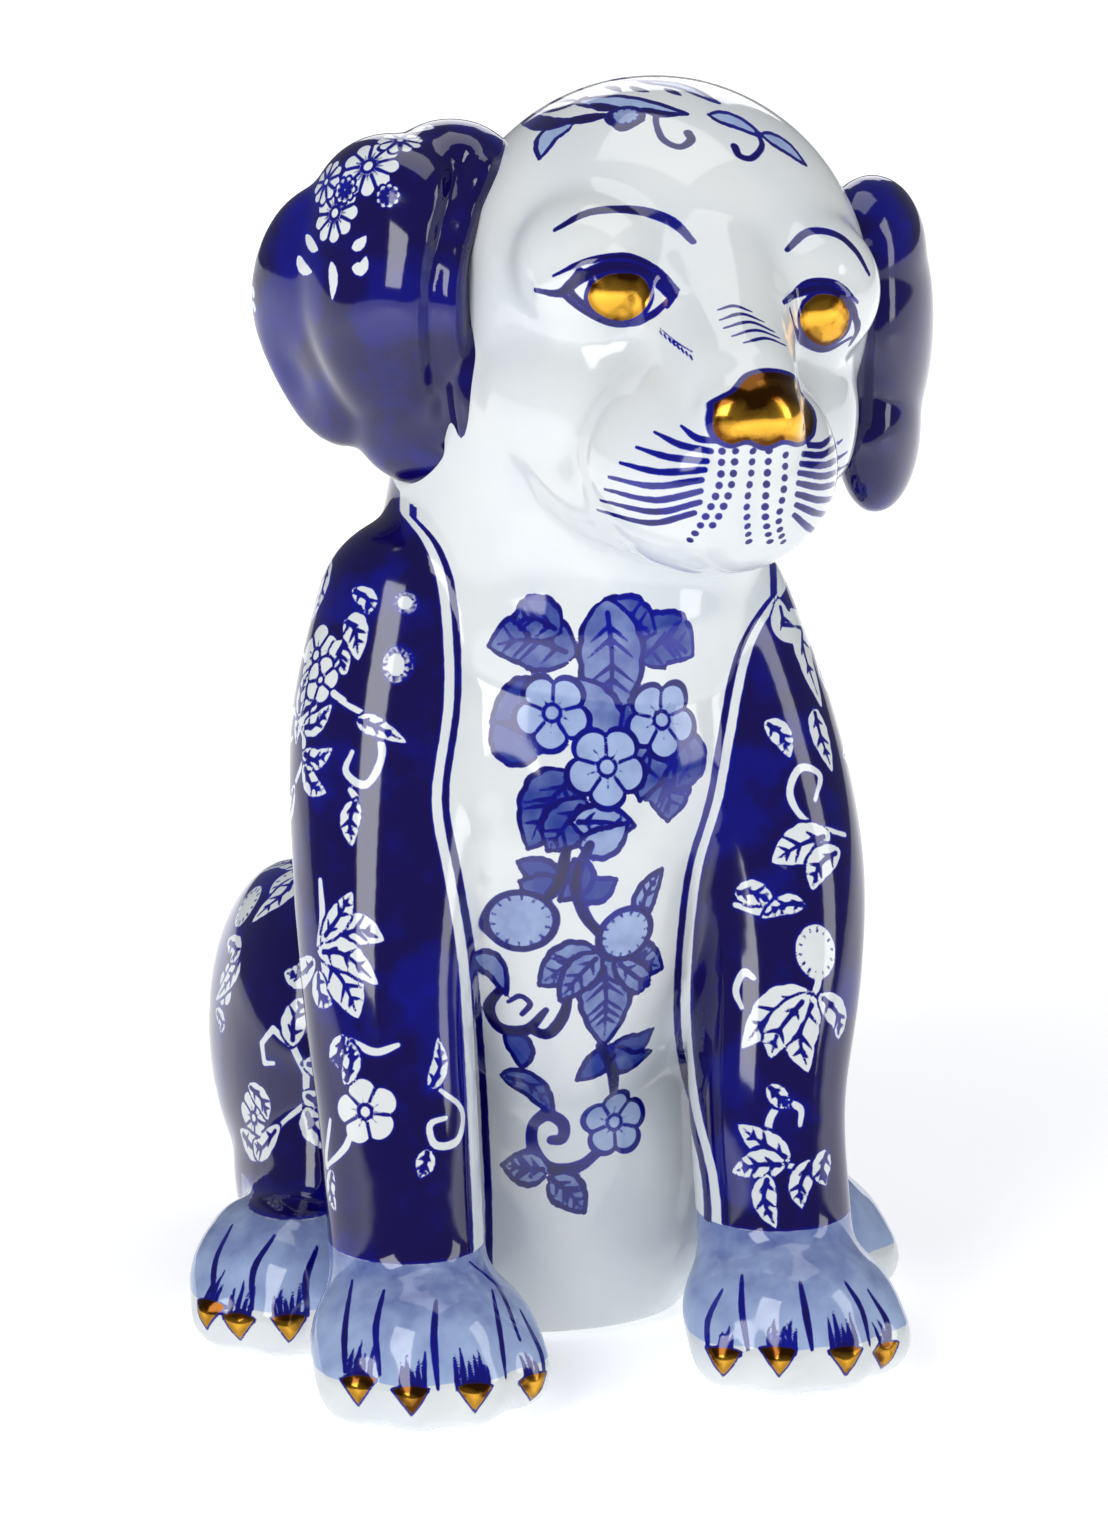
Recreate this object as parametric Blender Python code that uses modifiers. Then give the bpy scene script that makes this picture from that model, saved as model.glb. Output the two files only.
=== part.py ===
"""A seated puppy coin bank in glazed slip-cast porcelain, standing on four bumper pads.

The puppy looks along -Y, its right side is -X, and the floor is z = 0. The body is one
hollow form: soft lumps are fused by a voxel remesh, smoothed, hollowed by a smaller copy
of themselves, and parted at the neck seam into the torso and head castings. The ears are
cast apart and luted on. A rubber stopper closes the hole in the base and pulls out
downwards.
"""

import math

import bmesh
import bpy
import numpy as np
from mathutils import Euler, Matrix, Vector

MM = 0.001

# Overall size of the puppy. The lumps below are drawn for the sizes in DRAWN_AT.
HEIGHT = 250 * MM
WIDTH = 150 * MM
DEPTH = 150 * MM
DRAWN_AT = Vector((150, 150, 250))

# Porcelain.
WALL = 5.0 * MM
FLOOR_WALL = 6.0 * MM
SKIN_VOXEL = 2.4 * MM
SKIN_ROUNDS = 10
CAVITY_VOXEL = 3.2 * MM
CAVITY_ROUNDS = 6
TORSO_TRIANGLES = 4600
HEAD_TRIANGLES = 2400
EAR_TRIANGLES = 700
CAVITY_TRIANGLES = 1500

# Gap left between pieces that touch.
GAP = 0.3 * MM

# Half the side of a cutter that takes away everything on one side of a plane.
CUTTER_REACH = 0.4

# The neck seam: a plane through this point, lower at the throat than at the nape.
SEAM_POINT = Vector((10, -20, 171))
SEAM_SLOPE = math.radians(14)
SEAM_TILT = math.radians(4)

# Coin slot, across the crown from ear to ear.
SLOT_LENGTH = 36 * MM
SLOT_WIDTH = 4.8 * MM
SLOT_CENTRE = Vector((31, 4, 240))
SLOT_CUT_DOWN = 25 * MM
SLOT_CUT_UP = 20 * MM

# Head pose: the head leans towards the puppy's left, which is +X.
HEAD_CENTRE = Vector((24, -15, 204))
HEAD_ROLL = math.radians(8)

# Base hole and its stopper.
HOLE_RADIUS = 16 * MM
HOLE_CENTRE = Vector((3, 12))
STOPPER_DEPTH = 11 * MM
STOPPER_TAPER = 0.8 * MM
FLANGE_RADIUS = HOLE_RADIUS + 3 * MM
FLANGE_HEIGHT = 1.1 * MM
THUMB_RADIUS = 8 * MM
THUMB_DEPTH = 5 * MM

# Bumper pads.
PAD_HEIGHT = 2.0 * MM
PAD_RADIUS = 6.0 * MM
PAD_EDGE = 0.5 * MM
PADS = {
    "pad_front_right": (-37, -66),
    "pad_front_left": (38, -66),
    "pad_hind_right": (-52, -22),
    "pad_hind_left": (51, -22),
}


def clear_scene():
    for obj in list(bpy.data.objects):
        bpy.data.objects.remove(obj, do_unlink=True)


def collection(name, shown=True):
    made = bpy.data.collections.new(name)
    made.hide_render = not shown
    bpy.context.scene.collection.children.link(made)
    return made


def material(name, colour, roughness, metallic=0.0):
    made = bpy.data.materials.new(name)
    made.use_nodes = True
    shader = made.node_tree.nodes["Principled BSDF"]
    shader.inputs["Base Color"].default_value = (*colour, 1)
    shader.inputs["Roughness"].default_value = roughness
    shader.inputs["Metallic"].default_value = metallic
    return made


def to_size():
    """The matrix that takes drawn millimetres to metres at the chosen overall size."""
    scale = (WIDTH / DRAWN_AT.x, DEPTH / DRAWN_AT.y, HEIGHT / DRAWN_AT.z)
    return Matrix.Diagonal((*scale, 1))


def placed(point):
    """A drawn point in metres at the chosen overall size."""
    return to_size() @ Vector(point)


def head_frame():
    roll = Matrix.Rotation(HEAD_ROLL, 4, "Y")
    return Matrix.Translation(HEAD_CENTRE) @ roll


def add_ball(lumps, centre, radii, turn=(0, 0, 0), frame=None, shrink=0.0):
    """Lists one ellipsoid, in drawn millimetres, thinner all round by shrink."""
    radii = [r - shrink for r in radii]
    if min(radii) < 3:
        return
    turned = Euler([math.radians(a) for a in turn]).to_matrix().to_4x4()
    matrix = Matrix.Translation(centre) @ turned @ Matrix.Diagonal((*radii, 1))
    lumps.append(matrix if frame is None else frame @ matrix)


def add_limb(lumps, stations, frame=None, shrink=0.0, steps=7):
    """Balls along a smooth curve through stations of x, y, z and radius."""
    stations = [np.array(s, float) for s in stations]
    padded = [2 * stations[0] - stations[1], *stations, 2 * stations[-1] - stations[-2]]
    for a, b, c, d in zip(padded, padded[1:], padded[2:], padded[3:]):
        for t in np.linspace(0, 1, steps, endpoint=False):
            cubic = (2 * a - 5 * b + 4 * c - d) * t**2 + (3 * b - a - 3 * c + d) * t**3
            x, y, z, radius = b + 0.5 * ((c - a) * t + cubic)
            add_ball(lumps, (x, y, z), (radius,) * 3, frame=frame, shrink=shrink)
    *end, radius = stations[-1]
    add_ball(lumps, end, (radius,) * 3, frame=frame, shrink=shrink)


TRUNK = (
    # centre, radii, turn
    ((4, -6, 112), (44, 47, 50), (0, 0, 0)),
    ((5, 4, 84), (46, 52, 60), (0, 0, 0)),
    ((3, 12, 48), (50, 52, 62), (0, 0, 0)),
    ((2, 10, 22), (50, 54, 36), (0, 0, 0)),
    ((9, -12, 145), (37, 38, 34), (0, 0, 0)),
    ((8, 6, 142), (33, 32, 42), (0, 0, 0)),
    ((3, -24, 96), (30, 32, 58), (0, 0, 0)),
    ((2, -22, 30), (34, 22, 44), (0, 0, 0)),
)
HAUNCHES = (
    ((-40, 22, 50), (18.5, 36, 36), (0, 0, -6)),
    ((38, 22, 53), (17, 36, 38), (0, 0, 6)),
    ((-44, 4, 26), (13, 26, 24), (0, 0, 0)),
    ((42, 4, 26), (13, 26, 24), (0, 0, 0)),
)
TAIL = ((2, 58, 12, 9), (-12, 60, 12, 8.5), (-26, 56, 12, 7.5), (-37, 48, 13, 6))
FRONT_LEGS = (
    (
        (-24, -14, 146, 20),
        (-29, -22, 124, 22),
        (-34, -34, 98, 19.5),
        (-37, -44, 76, 17),
        (-37, -52, 52, 15.8),
        (-37, -57, 30, 15.6),
        (-37, -60, 18, 16),
    ),
    (
        (33, -16, 142, 20),
        (38, -22, 118, 22.5),
        (42, -32, 96, 21),
        (42, -42, 76, 18),
        (38, -52, 52, 15.8),
        (38, -57, 30, 15.6),
        (38, -60, 18, 16),
    ),
)


def trunk_lumps(lumps, shrink=0.0):
    for centre, radii, turn in TRUNK + HAUNCHES:
        add_ball(lumps, centre, radii, turn, shrink=shrink)
    for stations in FRONT_LEGS + (TAIL,):
        add_limb(lumps, stations, shrink=shrink)


# Sideways place, reach forward and radius of each toe.
TOES = ((-14.5, -13, 7.6), (-5.2, -18, 8.2), (5.2, -18, 8.2), (14.5, -13, 7.6))


def paw_lumps(lumps, x, y, yaw, size, shrink=0.0):
    """A paw with its heel at x, y: a low mound and four toes fanned over its front."""
    turn = Matrix.Translation((x, y, 2)) @ Matrix.Rotation(math.radians(yaw), 4, "Z")
    frame = turn @ Matrix.Scale(size, 4)
    add_ball(lumps, (0, -4, 10), (20, 22, 17), frame=frame, shrink=shrink)
    for spread, reach, radius in TOES:
        toe = (
            (0.55 * spread, 4, 17, radius),
            (0.9 * spread, reach + 8, 12.5, radius + 0.4),
            (spread, reach - 2, 7, radius),
        )
        add_limb(lumps, toe, frame=frame, shrink=shrink, steps=4)


def paws(lumps, shrink=0.0):
    paw_lumps(lumps, -36.5, -62, 0, 1.07, shrink)
    paw_lumps(lumps, 38, -62, 0, 1.03, shrink)
    paw_lumps(lumps, -51, -16, -6, 1.0, shrink)
    paw_lumps(lumps, 50, -16, 6, 1.0, shrink)


HEAD_BALLS = (
    ((0, 0, 3), (43, 44, 44), (0, 0, 0)),
    ((0, -16, -14), (39, 36, 28), (0, 0, 0)),
    ((0, -50, -19), (25, 27, 22), (0, 0, 0)),
    ((0, -30, -27), (29, 30, 15), (0, 0, 0)),
    ((-20, -26, 12), (17, 19, 16), (0, 0, 0)),
    ((20, -26, 12), (17, 19, 16), (0, 0, 0)),
)
NOSE_BRIDGE = (
    (0, -30, 10, 18),
    (0, -48, 2, 14.5),
    (0, -62, -3, 12),
)


def head_lumps(lumps, shrink=0.0):
    frame = head_frame()
    for centre, radii, turn in HEAD_BALLS:
        add_ball(lumps, centre, radii, turn, frame, shrink)
    add_limb(lumps, NOSE_BRIDGE, frame, shrink)
    if not shrink:
        add_ball(lumps, (0, -72, -6), (11, 7, 8.5), (0, 0, 0), frame)
    add_limb(lumps, ((14, -14, 186, 37), (11, -10, 168, 38), (9, -8, 150, 39)), shrink=shrink)


def unit_ball():
    """The corners and faces of a ball of radius 1, which every lump is a copy of."""
    bm = bmesh.new()
    bmesh.ops.create_uvsphere(bm, u_segments=28, v_segments=18, radius=1)
    corners = np.array([v.co for v in bm.verts])
    faces = [[v.index for v in f.verts] for f in bm.faces]
    bm.free()
    return corners, faces


def mesh_object(name, home, build, *extra):
    """An object whose mesh is a ball for each lump that build lists, at full size."""
    lumps = []
    build(lumps, *extra)
    corners, faces = unit_ball()
    placed_corners = []
    placed_faces = []
    for count, lump in enumerate(lumps):
        matrix = np.array(to_size() @ lump)
        placed_corners.append(corners @ matrix[:3, :3].T + matrix[:3, 3])
        first = count * len(corners)
        placed_faces += [[first + i for i in face] for face in faces]
    mesh = bpy.data.meshes.new(name)
    mesh.from_pydata(np.concatenate(placed_corners), [], placed_faces)
    obj = bpy.data.objects.new(name, mesh)
    home.objects.link(obj)
    return obj


def fuse(obj, voxel, rounds, triangles):
    """Fuses overlapping lumps into one smooth skin of about this many triangles."""
    remesh = obj.modifiers.new("fuse", "REMESH")
    remesh.mode = "VOXEL"
    remesh.voxel_size = voxel
    smooth = obj.modifiers.new("soften", "SMOOTH")
    smooth.factor = 0.5
    smooth.iterations = rounds
    bake(obj)
    thin = obj.modifiers.new("thin", "DECIMATE")
    thin.ratio = min(1.0, triangles / (2 * len(obj.data.polygons)))
    bake(obj)


def bake(obj):
    """Applies an object's modifiers to its mesh."""
    graph = bpy.context.evaluated_depsgraph_get()
    mesh = bpy.data.meshes.new_from_object(obj.evaluated_get(graph))
    old = obj.data
    obj.modifiers.clear()
    obj.data = mesh
    bpy.data.meshes.remove(old)


def boolean(obj, other, operation="DIFFERENCE"):
    cut = obj.modifiers.new(operation.lower() + "_" + other.name, "BOOLEAN")
    cut.operation = operation
    cut.solver = "EXACT"
    cut.object = other


def copy_of(obj, name, home):
    made = obj.copy()
    made.data = obj.data.copy()
    made.name = name
    home.objects.link(made)
    return made


def grown(obj, name, home, amount):
    """A copy pushed outwards along its normals."""
    made = copy_of(obj, name, home)
    push = made.modifiers.new("grow", "DISPLACE")
    push.strength = amount
    push.mid_level = 0.0
    bake(made)
    return made


def box_object(name, home, low, high, matrix=None):
    bm = bmesh.new()
    bmesh.ops.create_cube(bm, size=1)
    low, high = Vector(low), Vector(high)
    for v in bm.verts:
        v.co = Vector([low[i] if v.co[i] < 0 else high[i] for i in range(3)])
    if matrix is not None:
        bmesh.ops.transform(bm, matrix=matrix, verts=bm.verts)
    mesh = bpy.data.meshes.new(name)
    bm.to_mesh(mesh)
    bm.free()
    obj = bpy.data.objects.new(name, mesh)
    home.objects.link(obj)
    return obj


def seam_matrix():
    turn = Matrix.Rotation(SEAM_SLOPE, 4, "X") @ Matrix.Rotation(SEAM_TILT, 4, "Y")
    return Matrix.Translation(placed(SEAM_POINT)) @ turn


def slot_matrix():
    return Matrix.Translation(placed(SLOT_CENTRE)) @ Matrix.Rotation(HEAD_ROLL, 4, "Y")


def rounded_slot(name, home):
    """The coin slot's cutter: a stadium outline run down through the crown."""
    bm = bmesh.new()
    radius = SLOT_WIDTH / 2
    run = SLOT_LENGTH / 2 - radius
    ring = []
    for side in (1, -1):
        for step in range(9):
            angle = side * math.pi / 2 - math.pi * step / 8
            x = side * run + radius * math.cos(angle)
            ring.append(bm.verts.new((x, radius * math.sin(angle), -SLOT_CUT_DOWN)))
    bottom = bm.faces.new(ring)
    lifted = bmesh.ops.extrude_face_region(bm, geom=[bottom])["geom"]
    tops = [v for v in lifted if isinstance(v, bmesh.types.BMVert)]
    bmesh.ops.translate(bm, verts=tops, vec=(0, 0, SLOT_CUT_DOWN + SLOT_CUT_UP))
    bmesh.ops.recalc_face_normals(bm, faces=bm.faces)
    bmesh.ops.transform(bm, matrix=slot_matrix(), verts=bm.verts)
    mesh = bpy.data.meshes.new(name)
    bm.to_mesh(mesh)
    bm.free()
    obj = bpy.data.objects.new(name, mesh)
    home.objects.link(obj)
    return obj


def turned(name, home, profile, steps=48):
    """A solid turned round +Z, from a half profile of radii and heights."""
    mesh = bpy.data.meshes.new(name)
    points = [(r, 0, z) for r, z in profile]
    edges = [(i, i + 1) for i in range(len(points) - 1)]
    mesh.from_pydata(points, edges, [])
    obj = bpy.data.objects.new(name, mesh)
    home.objects.link(obj)
    spin = obj.modifiers.new("turn", "SCREW")
    spin.steps = spin.render_steps = steps
    spin.use_merge_vertices = True
    spin.merge_threshold = 0.00001
    spin.use_smooth_shade = True
    return obj


EAR_NEAR = (
    # centre, radii, turn: the puppy's right ear
    ((-14, -6, 229), (14, 16, 14), (0, 0, 30)),
    ((-26, -8, 222), (15, 20, 19), (0, 20, 30)),
    ((-30, -12, 209), (13, 22, 26), (0, 0, 30)),
    ((-36, -2, 204), (11, 21, 27), (0, 0, 40)),
    ((-24, -16, 190), (9, 18, 18), (0, 0, 40)),
    ((-14, -26, 190), (6.5, 7, 18), (0, 0, 40)),
)
EAR_FAR = (
    ((70, -12, 212), (11, 17, 17), (0, 0, -34)),
    ((73, -13, 198), (9, 18, 26), (0, 0, -34)),
    ((71, -16, 178), (8, 15, 17), (0, 0, -34)),
)


def ear_lumps(lumps, balls):
    for centre, radii, turn in balls:
        add_ball(lumps, centre, radii, turn)


def build_castings(parts, cutters, glaze, ear_glaze):
    def whole(lumps, shrink=0.0):
        trunk_lumps(lumps, shrink)
        head_lumps(lumps, shrink)
        if not shrink:
            paws(lumps)

    skin = mesh_object("body_skin", cutters, whole)
    fuse(skin, SKIN_VOXEL, SKIN_ROUNDS, TORSO_TRIANGLES + HEAD_TRIANGLES)
    cavity = mesh_object("body_cavity", cutters, whole, WALL / MM)
    fuse(cavity, CAVITY_VOXEL, CAVITY_ROUNDS, CAVITY_TRIANGLES)

    big = CUTTER_REACH
    below_floor = box_object("below_floor", cutters, (-big, -big, -big), (big, big, PAD_HEIGHT))
    below_cavity = box_object(
        "below_cavity", cutters, (-big, -big, -big), (big, big, PAD_HEIGHT + FLOOR_WALL)
    )
    boolean(cavity, below_cavity)
    bake(cavity)
    above_seam = box_object("above_seam", cutters, (-big, -big, -GAP / 2), (big, big, big), seam_matrix())
    below_seam = box_object("below_seam", cutters, (-big, -big, -big), (big, big, GAP / 2), seam_matrix())
    hole = turned(
        "base_hole_cutter",
        cutters,
        ((0, 0.04), (HOLE_RADIUS, 0.04), (HOLE_RADIUS, -0.01), (0, -0.01)),
    )
    hole.location = (*placed((*HOLE_CENTRE, 0)).xy, 0)
    bake(hole)
    slot = rounded_slot("coin_slot_cutter", cutters)

    build_ears(parts, cutters, grown(skin, "ear_clearance", cutters, GAP), ear_glaze)
    for name, cuts in (
        ("torso_casting", (below_floor, above_seam, cavity, hole)),
        ("head_casting", (below_seam, cavity, slot)),
    ):
        casting = copy_of(skin, name, parts)
        for other in cuts:
            boolean(casting, other)
            bake(casting)
        casting.data.materials.clear()
        casting.data.materials.append(glaze)
        casting.data.shade_smooth()


def build_ears(parts, cutters, keep_off, glaze):
    for name, balls in (("ear_right", EAR_NEAR), ("ear_left", EAR_FAR)):
        ear = mesh_object(name, parts, ear_lumps, balls)
        fuse(ear, SKIN_VOXEL, SKIN_ROUNDS, EAR_TRIANGLES)
        boolean(ear, keep_off)
        bake(ear)
        ear.data.materials.append(glaze)
        ear.data.shade_smooth()


def build_stopper(parts, rubber):
    top = PAD_HEIGHT - GAP
    low = top - FLANGE_HEIGHT
    tip = top + STOPPER_DEPTH
    body = HOLE_RADIUS - GAP
    profile = (
        (0, tip),
        (body - STOPPER_TAPER - 1 * MM, tip),
        (body - STOPPER_TAPER, tip - 1 * MM),
        (body, top),
        (FLANGE_RADIUS - FLANGE_HEIGHT / 3, top),
        (FLANGE_RADIUS, top - FLANGE_HEIGHT / 3),
        (FLANGE_RADIUS, low + FLANGE_HEIGHT / 3),
        (FLANGE_RADIUS - FLANGE_HEIGHT / 3, low),
        (THUMB_RADIUS, low),
        (THUMB_RADIUS - 1 * MM, low + THUMB_DEPTH),
        (0, low + THUMB_DEPTH),
    )
    stopper = turned("base_stopper", parts, profile, steps=40)
    stopper.location = (*placed((*HOLE_CENTRE, 0)).xy, 0)
    stopper.data.materials.append(rubber)


def build_pads(parts, rubber):
    top = PAD_HEIGHT - GAP
    profile = (
        (0, top),
        (PAD_RADIUS - PAD_EDGE, top),
        (PAD_RADIUS, top - PAD_EDGE),
        (PAD_RADIUS, PAD_EDGE),
        (PAD_RADIUS - PAD_EDGE, 0),
        (0, 0),
    )
    for name, (x, y) in PADS.items():
        pad = turned(name, parts, profile, steps=24)
        pad.location = (*placed((x, y, 0)).xy, 0)
        pad.data.materials.append(rubber)


def stand_on_origin(parts):
    """Moves all parts so that the middle of their joint footprint is the origin."""
    graph = bpy.context.evaluated_depsgraph_get()
    corners = []
    for obj in parts.objects:
        evaluated = obj.evaluated_get(graph)
        corners += [obj.matrix_world @ Vector(c) for c in evaluated.bound_box]
    low = Vector([min(c[i] for c in corners) for i in range(3)])
    high = Vector([max(c[i] for c in corners) for i in range(3)])
    middle = (low + high) / 2
    for obj in parts.objects:
        obj.location -= Vector((middle.x, middle.y, low.z))


def main():
    clear_scene()
    parts = collection("puppy_coin_bank")
    cutters = collection("cutters", shown=False)
    glaze = material("glazed_porcelain", (0.76, 0.80, 0.82), 0.08)
    cobalt = material("cobalt_glaze", (0.02, 0.01, 0.10), 0.08)
    rubber = material("soft_rubber", (0.55, 0.56, 0.58), 0.6)
    build_castings(parts, cutters, glaze, cobalt)
    build_stopper(parts, rubber)
    build_pads(parts, rubber)
    stand_on_origin(parts)
    for obj in cutters.objects:
        obj.hide_render = True
        obj.display_type = "WIRE"


main()
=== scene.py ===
# %% [markdown]
# A seated puppy coin bank in slip-cast porcelain. The CAD model fixes every size and
# place. This script makes the glazed surface: the smooth skin of the castings, the
# painted cobalt decoration under the glaze, and the gold lustre on eyes, nose and claws.
# Two ways to paint a skin like this are an image wrapped round it, or numbers stored on
# its corners. Images aren't used here, so each corner stores how far it is from the edge
# of the nearest brush mark, and the material turns that distance into paint.

# %% Frame
import math

import bmesh
import bpy
import numpy as np
from mathutils import Matrix, Vector
from mathutils.bvhtree import BVHTree


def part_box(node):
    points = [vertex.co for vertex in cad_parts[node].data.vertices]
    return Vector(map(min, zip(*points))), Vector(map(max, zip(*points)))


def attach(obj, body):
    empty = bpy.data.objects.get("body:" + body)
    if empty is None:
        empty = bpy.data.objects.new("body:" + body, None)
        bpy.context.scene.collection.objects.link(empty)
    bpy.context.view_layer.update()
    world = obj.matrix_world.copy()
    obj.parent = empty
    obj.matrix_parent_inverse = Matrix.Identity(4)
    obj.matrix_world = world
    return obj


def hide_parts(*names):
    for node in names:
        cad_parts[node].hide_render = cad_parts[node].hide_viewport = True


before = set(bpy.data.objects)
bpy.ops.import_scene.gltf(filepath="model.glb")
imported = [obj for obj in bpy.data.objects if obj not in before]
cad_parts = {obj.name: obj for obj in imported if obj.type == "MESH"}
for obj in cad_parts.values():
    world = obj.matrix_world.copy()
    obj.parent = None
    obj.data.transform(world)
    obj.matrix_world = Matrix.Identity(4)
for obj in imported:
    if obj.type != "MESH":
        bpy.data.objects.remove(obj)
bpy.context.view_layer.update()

MM = 0.001

# %% [markdown]
# The camera stands well back with a long lens, a little above the puppy and towards its
# right side. The same eye point is used later to lay out the painting, the way a painter
# plans the decoration from the side that buyers see first.

# %% Camera
VIEW_AZIMUTH = math.radians(-15)
VIEW_HEIGHT = math.radians(15)
VIEW_DISTANCE = 1.4
LENS = 167.0
SENSOR = 36.0
AIM = Vector((-0.0054, -0.0171, 0.1175))

back = Vector((
    math.sin(VIEW_AZIMUTH) * math.cos(VIEW_HEIGHT),
    -math.cos(VIEW_AZIMUTH) * math.cos(VIEW_HEIGHT),
    math.sin(VIEW_HEIGHT),
))
across = Vector((math.cos(VIEW_AZIMUTH), math.sin(VIEW_AZIMUTH), 0))
upward = back.cross(across)
eye_point = AIM + back * VIEW_DISTANCE

camera_data = bpy.data.cameras.new("camera")
camera_data.lens = LENS
camera_data.sensor_width = SENSOR
camera = bpy.data.objects.new("camera", camera_data)
camera.location = eye_point
camera.rotation_euler = back.to_track_quat("Z", "Y").to_euler()
bpy.context.scene.collection.objects.link(camera)
bpy.context.scene.camera = camera
print("camera", [round(v, 3) for v in camera.location])

# %% [markdown]
# Studio light: two softboxes in front, whose plain rectangles show as the crisp highlights
# on the glaze, one overhead, a weak one behind, and a dim even surround.

# %% Light and floor


def softbox(name, place, aim, size, power):
    data = bpy.data.lights.new(name, "AREA")
    data.shape = "RECTANGLE"
    data.size, data.size_y = size
    data.energy = power
    made = bpy.data.objects.new(name, data)
    made.location = place
    towards = Vector(place) - Vector(aim)
    made.rotation_euler = towards.to_track_quat("Z", "Y").to_euler()
    bpy.context.scene.collection.objects.link(made)


CENTRE = (0, 0, 0.12)
softbox("softbox_left", (-0.75, -0.75, 0.75), CENTRE, (0.5, 0.8), 7.6)
softbox("softbox_right", (1.05, -0.55, 0.55), CENTRE, (0.35, 0.9), 3.8)
softbox("softbox_top", (0.1, 0.1, 1.15), CENTRE, (0.8, 0.6), 3.0)
softbox("softbox_back", (0.3, 1.0, 0.6), CENTRE, (0.6, 0.5), 2.0)

world = bpy.data.worlds.new("studio")
bpy.context.scene.world = world
world.use_nodes = True
world.node_tree.nodes["Background"].inputs["Color"].default_value = (0.97, 0.98, 1.0, 1)
world.node_tree.nodes["Background"].inputs["Strength"].default_value = 0.16
bpy.context.scene.view_settings.view_transform = "Standard"

FLOOR_REACH = 3.0
floor_mesh = bpy.data.meshes.new("floor")
floor_mesh.from_pydata(
    [(-FLOOR_REACH, -FLOOR_REACH, 0), (FLOOR_REACH, -FLOOR_REACH, 0),
     (FLOOR_REACH, FLOOR_REACH, 0), (-FLOOR_REACH, FLOOR_REACH, 0)], [], [(0, 1, 2, 3)])
floor = bpy.data.objects.new("floor", floor_mesh)
bpy.context.scene.collection.objects.link(floor)

# %% [markdown]
# Material maths is easier to read as expressions. This small class wraps a node socket,
# so that `a * b + 1` adds the Math nodes for it, and `node` makes any other node.

# %% Shader helper


class Shade:
    def __init__(self, tree, socket):
        self.tree = tree
        self.socket = socket

    def node(self, kind, settings=(), inputs=(), output=0):
        made = self.tree.nodes.new(kind)
        for key, value in dict(settings).items():
            setattr(made, key, value)
        for key, value in dict(inputs).items():
            socket = made.inputs[key]
            if isinstance(value, Shade):
                self.tree.links.new(value.socket, socket)
            else:
                socket.default_value = value
        return Shade(self.tree, made.outputs[output])

    def math(self, operation, *values):
        return self.node("ShaderNodeMath", {"operation": operation}, enumerate(values))

    def __add__(self, other):
        return self.math("ADD", self, other)

    def __radd__(self, other):
        return self.math("ADD", other, self)

    def __sub__(self, other):
        return self.math("SUBTRACT", self, other)

    def __rsub__(self, other):
        return self.math("SUBTRACT", other, self)

    def __mul__(self, other):
        return self.math("MULTIPLY", self, other)

    def __rmul__(self, other):
        return self.math("MULTIPLY", other, self)

    def step(self, low, high):
        """0 below low, 1 above high, smooth between."""
        settings = {"interpolation_type": "SMOOTHSTEP"}
        inputs = {"Value": self, "From Min": low, "From Max": high}
        return self.node("ShaderNodeMapRange", settings, inputs)

    def mix(self, first, second):
        """first where this is 0, second where it is 1, as colours."""
        made = self.tree.nodes.new("ShaderNodeMix")
        made.data_type = "RGBA"
        sockets = (made.inputs[0], made.inputs[6], made.inputs[7])
        for socket, value in zip(sockets, (self, first, second)):
            if isinstance(value, Shade):
                self.tree.links.new(value.socket, socket)
            else:
                socket.default_value = (*value, 1)
        return Shade(self.tree, made.outputs[2])


def new_material(name):
    made = bpy.data.materials.new(name)
    made.use_nodes = True
    shader = made.node_tree.nodes["Principled BSDF"]
    return made, shader, Shade(made.node_tree, None)


def linear(red, green, blue):
    """A colour given as 0-255 screen values, as light."""
    return tuple((c / 255) ** 2.2 for c in (red, green, blue))


def feed(shader, name, value):
    shader.id_data.links.new(value.socket, shader.inputs[name])


def noise(start, scale, detail=3.0):
    where = start.node("ShaderNodeTexCoord", output="Object")
    inputs = {"Vector": where, "Scale": scale, "Detail": detail}
    return start.node("ShaderNodeTexNoise", {}, inputs)


# %% [markdown]
# The floor is plain pale paper. A faint mottle keeps it from being one flat number. The paper also
# glows as painted light, dim near the puppy and bright far off, which paints a soft shade round the
# puppy.

# %% Floor paper
paper, shader, start = new_material("floor_paper")
mottle = noise(start, 3.0).step(0.3, 0.7)
feed(shader, "Base Color", mottle.mix(linear(247, 248, 250), linear(251, 252, 253)))
shader.inputs["Roughness"].default_value = 0.55
shader.inputs["Specular IOR Level"].default_value = 0.0
# Painted light: the floor's emission rises with distance from the puppy, so the floor glows white far
# off and leaves painted shade near the puppy.
away = start.node("ShaderNodeVectorMath", {"operation": "LENGTH"},
                  {0: start.node("ShaderNodeTexCoord", output="Object")}, "Value")
feed(shader, "Emission Color", away.step(0.12, 0.7).mix((0.42, 0.42, 0.43), (0.95, 0.95, 0.95)))
shader.inputs["Emission Strength"].default_value = 1.0
floor_mesh.materials.append(paper)

# %% [markdown]
# The glaze. Porcelain is white clay under clear glass, so it has one gloss all over,
# with a faint ripple. Four numbers come from the painted corners: `cobalt`, `wash` and
# `gold` are distances in millimetres to the edge of the paint, below zero inside it, and
# `tone` says how strong the wash is. Cobalt burns thin and bright at its edges and pools
# dark where it is thick, so its colour follows both the distance and a slow noise.

# %% Glaze materials
PORCELAIN = linear(226, 230, 231)
PORCELAIN_SHADE = linear(218, 224, 228)
COBALT_DARK = linear(22, 12, 78)
COBALT_BRIGHT = linear(14, 24, 146)
WASH_LIGHT = linear(168, 188, 226)
WASH_MID = linear(36, 56, 142)
GOLD = linear(238, 176, 62)
# A dark brown painted into the gold as painted reflection and painted shade.
GOLD_DARK_REFLECTION = linear(96, 58, 18)


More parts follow.
